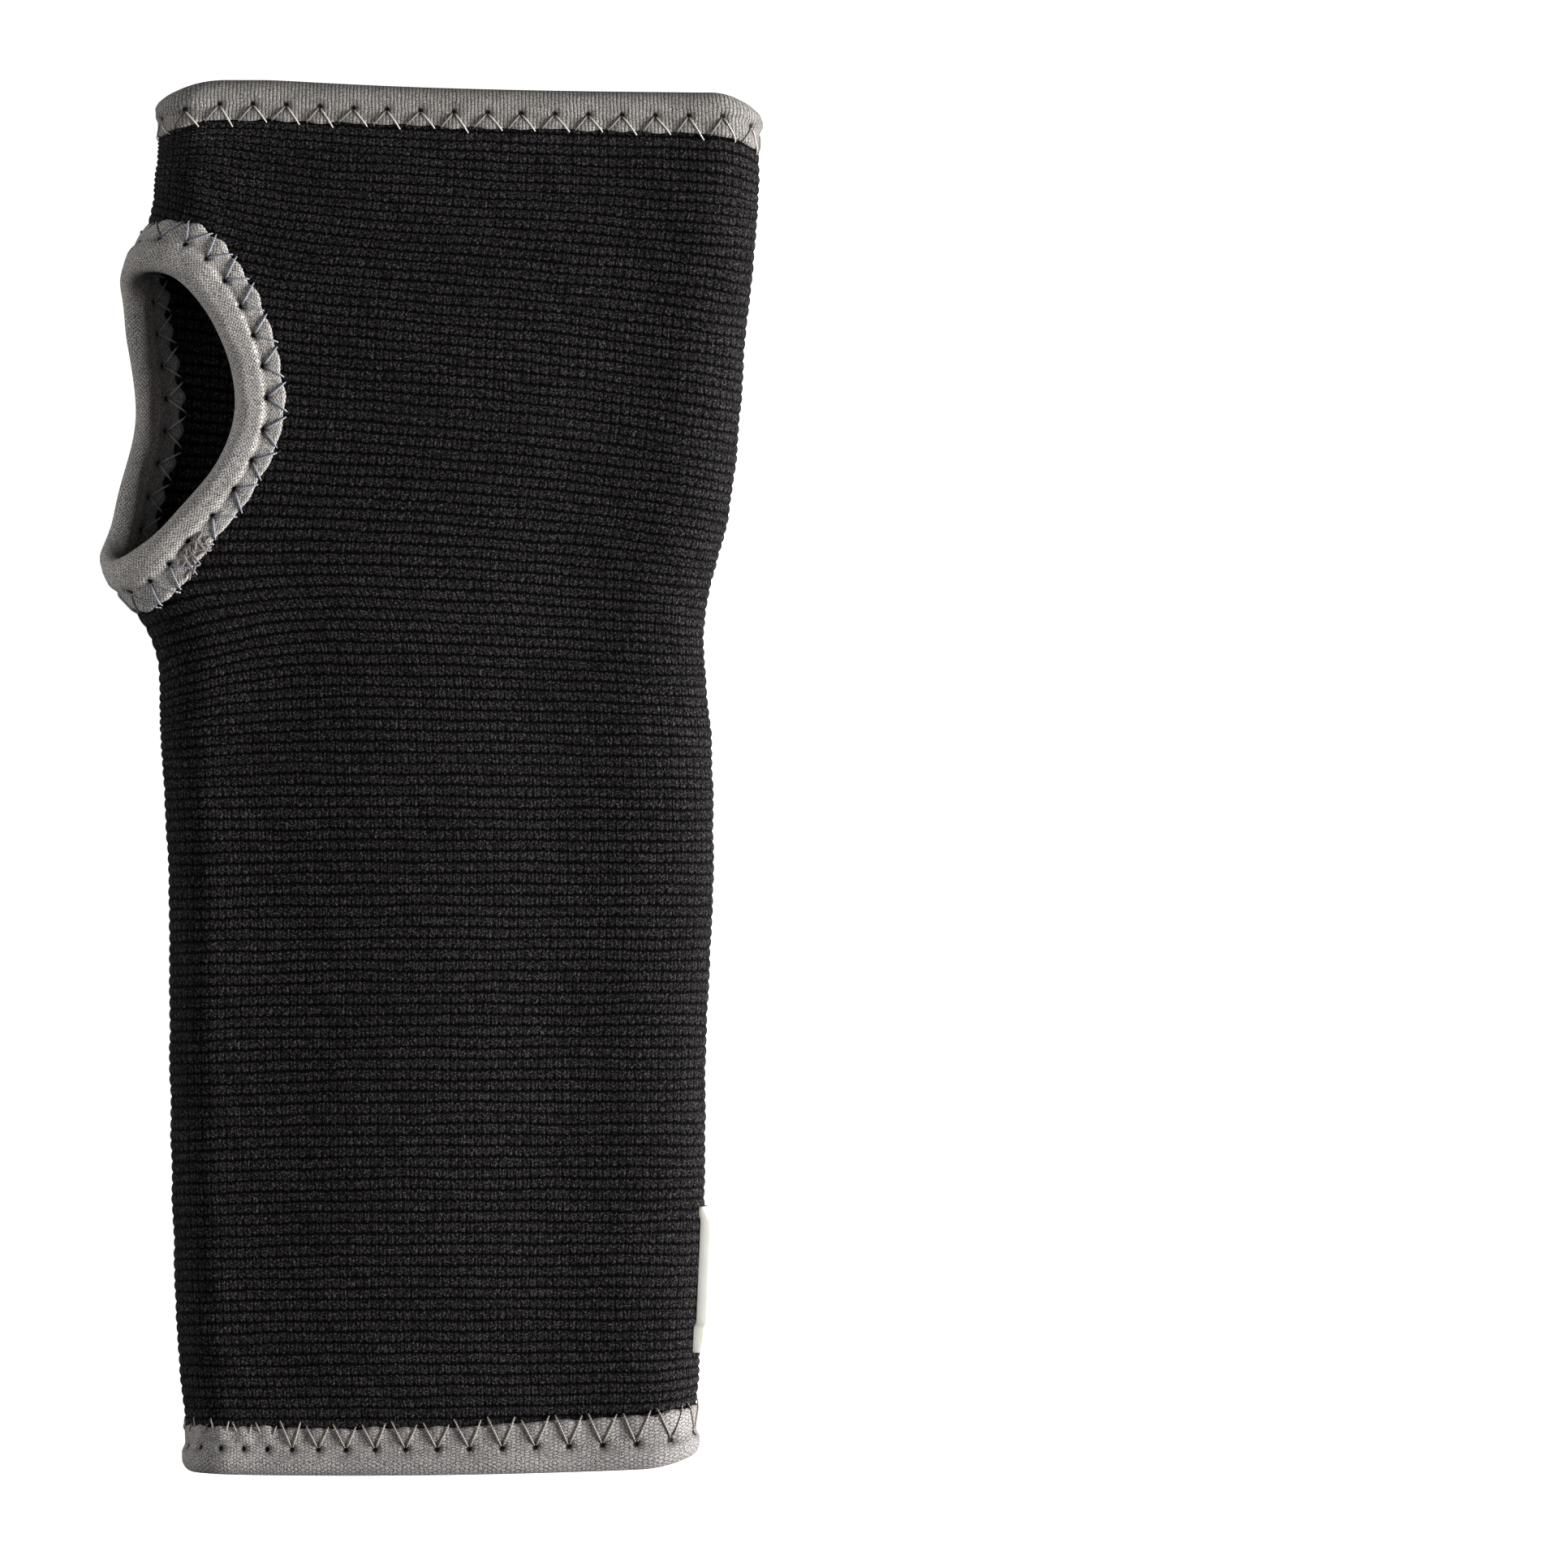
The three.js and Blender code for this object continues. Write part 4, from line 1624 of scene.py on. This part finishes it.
@dataclass
class ZigzagSeam:
    """Zigzag stitches over the edge of a tape, on its outer and inner legs."""

    MAP = "thread"
    FAINT_MAP = 100.0
    TURN_RANGE, FINE_TURNS = (-0.25, 1.25), 3001
    SIDES = 6
    CAP = ((0, 1, 2, 3), (0, 3, 4, 5))

    # How unlike one another the stitches are
    REACH_PLAY, OVERSHOOT_PLAY = 0.03, (0.5, 1.5)
    # Where a leg starts from the stitch line, comes off the tape's edge, and lies on the knit
    HOLE_EDGE, OFF_EDGE, ON_KNIT = 0.0001, (0.0004, -0.0001), 0.00012
    # Share of the thread's radius that it stands off by
    SEATED = 0.75
    # How deep it dives at the needle hole, in the knit and where it is buried, and over what part of it
    HOLE_DIVE, HOLE_PART = 0.00055, (0.10, 0.0)
    KNIT_DIVE, KNIT_PART = 0.0006, (0.90, 1.0)
    BURIED_DIVE, BURIED_PART, BURIED_FADE = 0.00050, (0.75, 0.45), 0.01
    # How far the loose ends run, reach past the tape and bow, and how they stand off
    LOOSE_RUN, LOOSE_PAST, LOOSE_BOW = 0.012, 0.0006, 0.004
    LOOSE_LOWEST, LOOSE_SEATED, LOOSE_ARCH = 0.0001, 0.4, (0.1, 1.1)
    # How a thread narrows to its ends, and how many of its rings take one step of its map
    END_ANGLE, END_POWER, MAP_RINGS = 0.35, 0.35, 2.0

    name: str
    tape: BindingTape
    finish: ThreadFinish
    radius: float = 0.00015
    overshoot: Span = (0.0009, 0.0009)
    spread: Span = (0.08, 0.08)
    faint: bool = False
    steps: int = 12
    seed: int = 3
    tack_threads: int = 0
    tack_turn: float = 0.0
    tack_length: float = 0.04
    buried: float = 0.0

    def build(self) -> bpy.types.Object:
        """Make all the stitches as one piece.

        Returns:
            The piece, dressed and riding.
        """
        random = np.random.default_rng(self.seed)
        threads = []
        for inside in (False, True):
            for stitch in range(self.tape.stitches):
                threads.extend(self._leg(stitch, side, inside, random) for side in (-1, 1))
        threads.extend(self._loose_end(random) for _ in range(self.tack_threads))
        starts = np.cumsum([0] + [len(points) for points, _, _ in threads])
        points = np.concatenate([thread[0] for thread in threads])
        quads = np.concatenate([thread[1] + start for thread, start in zip(threads, starts)])
        uv = np.concatenate([thread[2] for thread in threads])
        piece = make_piece(self.name, points, quads, uv, self.MAP)
        settle(piece, self.finish)
        return piece

    def _leg(self, stitch: int, side: int, inside: bool, random: np.random.Generator) -> Thread:
        """Make one leg of a stitch, from its needle hole to the knit beside the tape.

        Args:
            stitch: Which needle hole.
            side: Which of its two legs, -1 or 1.
            inside: Whether it lies on the tape's inner leg.
            random: Source of the small differences between stitches.

        Returns:
            Its points, its quads and its map.
        """
        tape = self.tape
        share = np.linspace(0.0, 1.0, self.steps + 1)
        which = max(0, side)
        reach = side * (0.5 - self.spread[which]) + random.uniform(-self.REACH_PLAY, self.REACH_PLAY)
        turn = self._turn(stitch + share * reach)
        over = self.overshoot[which] * random.uniform(*self.OVERSHOOT_PLAY)
        start = tape.line + self.HOLE_EDGE
        edge = tape.pull(turn, np.full(turn.shape, tape.width))
        inward = start + share * (edge[-1] + over - start)
        on_tape = smoothstep(inward, *(edge + past for past in self.OFF_EDGE))
        lift = on_tape * np.maximum(tape.height(turn, inward), 0.0) + (1 - on_tape) * self.ON_KNIT
        lift = lift + self.radius * self.SEATED
        lift = lift - self.HOLE_DIVE * smoothstep(share, *self.HOLE_PART)
        lift = lift - self.KNIT_DIVE * smoothstep(share, *self.KNIT_PART)
        buried = smoothstep(turn, self.buried + self.BURIED_FADE, self.buried)
        lift = lift - self.BURIED_DIVE * buried * smoothstep(share, *self.BURIED_PART)
        along, around = tape.route.spot(turn, inward)
        centre = tape.surface.place(along, around, -KNIT_WALL - lift if inside else lift)
        return self._tube(centre, self.FAINT_MAP if self.faint and side < 0 else 0.0)

    def _turn(self, stitch: Array) -> Array:
        """Find where round the tape counts of stitches lie."""
        turns = np.linspace(*self.TURN_RANGE, self.FINE_TURNS)
        return np.interp(stitch, self.tape.stitch_at(turns), turns)

    def _loose_end(self, random: np.random.Generator) -> Thread:
        """Make one thread of the small tangle where the seam was started and sewn back over itself.

        Args:
            random: Source of the differences between its threads.

        Returns:
            Its points, its quads and its map.
        """
        tape = self.tape
        share = np.linspace(0.0, 1.0, self.steps + 1)
        bow = np.sin(math.pi * share)
        turn = self.tack_turn + random.uniform(-0.5, 0.5) * self.tack_length
        turn = turn + share * random.uniform(-self.LOOSE_RUN, self.LOOSE_RUN)
        first, last = random.uniform(tape.line, tape.width + self.LOOSE_PAST, 2)
        turn = turn + self.LOOSE_BOW * random.uniform(-1.0, 1.0) * bow
        inward = first + (last - first) * share
        height = np.maximum(tape.height(turn, np.minimum(inward, tape.width)), self.LOOSE_LOWEST)
        height = height + self.radius * (self.LOOSE_SEATED + random.uniform(*self.LOOSE_ARCH) * bow)
        along, around = tape.route.spot(turn, inward)
        return self._tube(tape.surface.place(along, around, height), self.FAINT_MAP)

    def _tube(self, centre: Array, map_start: float) -> Thread:
        """Make a thread round a line of points, narrow at both ends.

        Args:
            centre: The points of the line.
            map_start: Where the thread's map starts.

        Returns:
            Its points, its quads and its map.
        """
        nearly_up = np.array([0.01, 0.01, 1.01])
        heading = np.gradient(centre, axis=0)
        heading /= np.linalg.norm(heading, axis=1, keepdims=True)
        sideways = np.cross(heading, nearly_up)
        sideways /= np.linalg.norm(sideways, axis=1, keepdims=True)
        upward = np.cross(sideways, heading)
        angles = (np.arange(self.SIDES) / self.SIDES * WHOLE_TURN)[None, :, None]
        narrowing = np.linspace(self.END_ANGLE, math.pi - self.END_ANGLE, len(centre))
        taper = self.radius * np.sin(narrowing) ** self.END_POWER
        ring = np.cos(angles) * sideways[:, None] + np.sin(angles) * upward[:, None]
        points = centre[:, None] + ring * taper[:, None, None]
        row, column = ring_corners(len(centre), self.SIDES, False)
        quads = row * self.SIDES + column % self.SIDES
        uv = np.stack([row / self.MAP_RINGS + map_start, column / self.SIDES], axis=-1)
        cap = np.array(self.CAP)
        caps = np.vstack([cap, (len(centre) - 1) * self.SIDES + -cap % self.SIDES])
        cap_uv = np.full((*caps.shape, 2), (map_start, 0.0))
        return points.reshape(-1, 3), np.vstack([quads[:, ::-1], caps]), np.vstack([uv[:, ::-1], cap_uv])


@dataclass
class SideLabel:
    """The bare moulded patch on the little-finger fold, with a raised rim and thicker end tabs."""

    BEVEL_STEPS = 3
    SMOOTH_ANGLE = math.radians(50)

    surface: SleeveSurface
    finish: RubberFinish
    start: float = -0.0855
    stop: float = -0.0633
    above: float = 0.0030
    below: float = 0.0042
    thick: float = 0.0018
    rim: float = 0.0012
    rim_height: float = 0.0003
    slope: float = 0.0004
    softness: float = 0.00025
    forearm_taper: float = 0.25
    hand_taper: float = 0.62
    taper_reach: float = 0.0030
    taper_power: float = 1.5
    forearm_tab: Span = (0.0046, 0.0007)
    hand_tab: Span = (0.0016, 0.0004)
    cuts: tuple[int, int] = (48, 12)

    def build(self) -> bpy.types.Object:
        """Model the patch flat, then lay it on the fold.

        Returns:
            The piece, dressed and riding.
        """
        sizes = (self.stop - self.start, self.above + self.below, self.thick)
        bpy.ops.object.select_all(action="DESELECT")
        bpy.ops.mesh.primitive_cube_add(size=1.0)
        piece = bpy.context.active_object
        piece.name = "side_label"
        piece.scale = sizes
        bpy.ops.object.transform_apply(location=False, rotation=False, scale=True)
        bpy.ops.object.mode_set(mode="EDIT")
        bpy.ops.mesh.select_all(action="SELECT")
        bpy.ops.mesh.bevel(offset=self.softness, segments=self.BEVEL_STEPS, affect="EDGES")
        for axis in (0, 1):
            self._cut(axis, sizes[axis])
        bpy.ops.object.mode_set(mode="OBJECT")
        self._lay(piece)
        bpy.ops.object.shade_smooth_by_angle(angle=self.SMOOTH_ANGLE)
        settle(piece, self.finish)
        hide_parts("label")
        return piece

    def _cut(self, axis: int, size: float) -> None:
        """Cut the flat patch into even slices.

        Args:
            axis: 0 to slice it along its length, 1 to slice it across.
            size: Its size that way.
        """
        square_to = tuple(float(index == axis) for index in range(3))
        for place in np.linspace(-size / 2, size / 2, self.cuts[axis] + 1)[1:-1]:
            bpy.ops.mesh.select_all(action="SELECT")
            bpy.ops.mesh.bisect(plane_co=tuple(place * part for part in square_to), plane_no=square_to)

    def _lay(self, piece: bpy.types.Object) -> None:
        """Sink the patch's face inside its rim, round its ends, and move its points on to the fold.

        Args:
            piece: The flat patch.
        """
        flat = np.zeros(len(piece.data.vertices) * 3)
        piece.data.vertices.foreach_get("co", flat)
        x, y, z = flat.reshape(-1, 3).T
        along = (self.start + self.stop) / 2 + x
        half_width = (self.above + self.below) / 2
        to_end = (self.stop - self.start) / 2 - np.abs(x)
        inside = smoothstep(np.minimum(to_end, half_width - np.abs(y)), self.rim, self.rim + self.slope)
        out = self.thick / 2 + z - self.rim_height * inside * (z > 0)
        taper = np.where(x > 0, self.hand_taper, self.forearm_taper)
        out = out * (1.0 - taper * np.clip(1.0 - to_end / self.taper_reach, 0.0, 1.0) ** self.taper_power)
        tabs = ((self.forearm_tab, along - self.start), (self.hand_tab, self.stop - along))
        for (length, step), from_end in tabs:
            on_tab = smoothstep(from_end, length + self.slope, length - self.slope)
            y = y + step * smoothstep(y, 0.0, half_width) * on_tab
        around = self.surface.finger_tip(along) + (self.below - self.above) / 2 - y
        points = self.surface.place(along, around / self.surface.length(along), 0.0)
        points[:, 0] += out
        piece.data.vertices.foreach_set("co", points.ravel())
        piece.data.update()


class Lamp(NamedTuple):
    """A round soft light that looks at the sleeve: its name, place, size and power in watts."""

    name: str
    place: tuple[float, float, float]
    size: float
    power: float


@dataclass
class Studio:
    """The pale floor, the soft lights and the camera straight above."""

    LAMPS = (
        Lamp("overhead", (0.35, 0.10, 1.20), 0.8, 1.5),
        Lamp("key", (1.22, -0.12, 0.38), 0.6, 50.0),
        Lamp("fill", (-1.15, 0.10, 0.30), 0.6, 9.0),
    )

    floor_size: float = 6.0
    floor_level: float = -0.0005
    sky: float = 0.07
    frame_width: float = 0.23184
    centre: Span = (0.05196, -0.0009)
    focus: float = 0.009
    lens: float = 0.300
    sensor: float = 0.036
    clip: Span = (0.01, 20.0)

    def build(self) -> None:
        """Set up the floor, the lights and the camera."""
        self._floor()
        for lamp in self.LAMPS:
            self._light(lamp)
        self._sky()
        self._camera()

    def _floor(self) -> None:
        """Lay the floor under the sleeve, where it lights nothing but shows pale."""
        bpy.ops.object.select_all(action="DESELECT")
        bpy.ops.mesh.primitive_plane_add(size=self.floor_size, location=(0.0, 0.0, self.floor_level))
        floor = bpy.context.active_object
        floor.name = "floor"
        floor.data.materials.append(FloorFinish("pale floor").material())
        floor.visible_diffuse = False
        floor.visible_glossy = False

    def _light(self, lamp: Lamp) -> None:
        """Hang a light and turn it to the sleeve.

        Args:
            lamp: What to hang.
        """
        light = bpy.data.lights.new(lamp.name, "AREA")
        light.energy = lamp.power
        light.shape = "DISK"
        light.size = lamp.size
        holder = bpy.data.objects.new(lamp.name, light)
        bpy.context.scene.collection.objects.link(holder)
        holder.location = lamp.place
        holder.rotation_mode = "QUATERNION"
        holder.rotation_quaternion = (-holder.location).to_track_quat("-Z", "Y")

    def _sky(self) -> None:
        """Light everything evenly a little, and show tones as they are."""
        world = bpy.data.worlds.new("sky")
        world.use_nodes = True
        background = world.node_tree.nodes["Background"]
        background.inputs["Color"].default_value = (1.0, 1.0, 1.0, 1.0)
        background.inputs["Strength"].default_value = self.sky
        bpy.context.scene.world = world
        bpy.context.scene.view_settings.view_transform = "Standard"

    def _camera(self) -> None:
        """Look straight down, with the frame as wide as the photograph's."""
        millimetres = 1000
        camera = bpy.data.cameras.new("camera")
        camera.sensor_width = self.sensor * millimetres
        camera.lens = self.lens * millimetres
        camera.clip_start, camera.clip_end = self.clip
        holder = bpy.data.objects.new("camera", camera)
        bpy.context.scene.collection.objects.link(holder)
        distance = self.frame_width * self.lens / self.sensor
        holder.location = (*self.centre, self.focus + distance)
        bpy.context.scene.camera = holder


def make_tapes(surface: SleeveSurface, rim: ThumbRim) -> tuple[BindingTape, BindingTape, BindingTape]:
    """Plan the three binding tapes.

    Args:
        surface: The face that they are sewn to.
        rim: The thumb hole's rim.

    Returns:
        The tapes of the hand opening, the thumb hole and the forearm opening.
    """
    hand_finish = TapeFinish("hand tape", "binding")
    thumb_finish = TapeFinish(
        "thumb tape", "binding", column=0.00031, dash=0.00045, cord=0.1,
        # The thumb tape's inner leg gets a deeper painted shade
        light=(0.55, 0.52, 0.492), dark=(0.035, 0.033, 0.032), inner_painted_shade=0.45,
        floats=0.9, float_pitch=0.0007, floats_between=0.85, floats_from=0.012, floats_to=0.052,
    )
    forearm_finish = TapeFinish(
        "forearm tape", "binding", column=0.00060, dash=0.00044, cord=0.30,
        light=(0.43, 0.405, 0.392), dark=(0.036, 0.034, 0.033),
        floats=0.9, floats_from=0.035, floats_to=0.075,
    )
    hand = BindingTape(
        "tape_hand", "hand_binding", surface, EndRoute(surface, HAND_END), hand_finish,
        width=HAND_END.tape, line=0.0037, stitches=39, seed=21,
        phase=-0.34, flare=0.0012, flare_reach=0.06,
    )
    thumb = BindingTape(
        "tape_thumb", "thumb_binding", surface, RimRoute(surface, rim), thumb_finish,
        width=THUMB_TAPE, line=0.0047, stitches=30, seed=31,
        scallop=0.0004, inner_draw=2.6, phase=-0.42,
    )
    forearm = BindingTape(
        "tape_forearm", "forearm_binding", surface, EndRoute(surface, FOREARM_END), forearm_finish,
        width=FOREARM_END.tape, line=0.0040, stitches=39, seed=41,
        phase=0.02, crowding=3.0, flare=0.0013, flare_reach=0.16,
    )
    return hand, thumb, forearm


def make_seams(hand: BindingTape, thumb: BindingTape, forearm: BindingTape) -> tuple[ZigzagSeam, ...]:
    """Plan the zigzag seam of each tape.

    Args:
        hand: The hand opening's tape.
        thumb: The thumb hole's tape.
        forearm: The forearm opening's tape.

    Returns:
        The seams, in the same order.
    """
    pale = ThreadFinish("hand thread", "binding")
    slate = ThreadFinish(
        "thumb thread", "binding", light=(0.34, 0.36, 0.41), dark=(0.06, 0.065, 0.08), worn=(0.21, 0.17, 0.15)
    )
    brown = ThreadFinish("forearm thread", "binding", light=(0.34, 0.29, 0.25), dark=(0.10, 0.08, 0.07))
    return (
        ZigzagSeam(
            "seam_hand", hand, pale, radius=0.00012, overshoot=(0.0002, 0.0008), spread=(0.10, 0.06),
            faint=True, seed=3,
        ),
        ZigzagSeam(
            "seam_thumb", thumb, slate, radius=0.00016, overshoot=(0.0005, 0.0005), spread=(0.05, 0.05),
            seed=4, tack_threads=26, tack_turn=0.425,
        ),
        ZigzagSeam(
            "seam_forearm", forearm, brown, radius=0.00014, overshoot=(0.0010, 0.0008), spread=(0.05, 0.10),
            seed=5, buried=0.10,
        ),
    )


def main() -> None:
    """Build the sleeve's pieces in order, then the studio."""
    logging.basicConfig(level=logging.INFO, format="%(name)s: %(message)s")
    surface = SleeveSurface()
    rim = ThumbRim(surface)
    KnitTube(surface, rim, KnitFinish("black rib knit", "knit")).build()
    tapes = make_tapes(surface, rim)
    for part in (*tapes, *make_seams(*tapes)):
        part.build()
    SideLabel(surface, RubberFinish("moulded rubber", "label")).build()
    Studio().build()


if __name__ == "__main__":
    main()
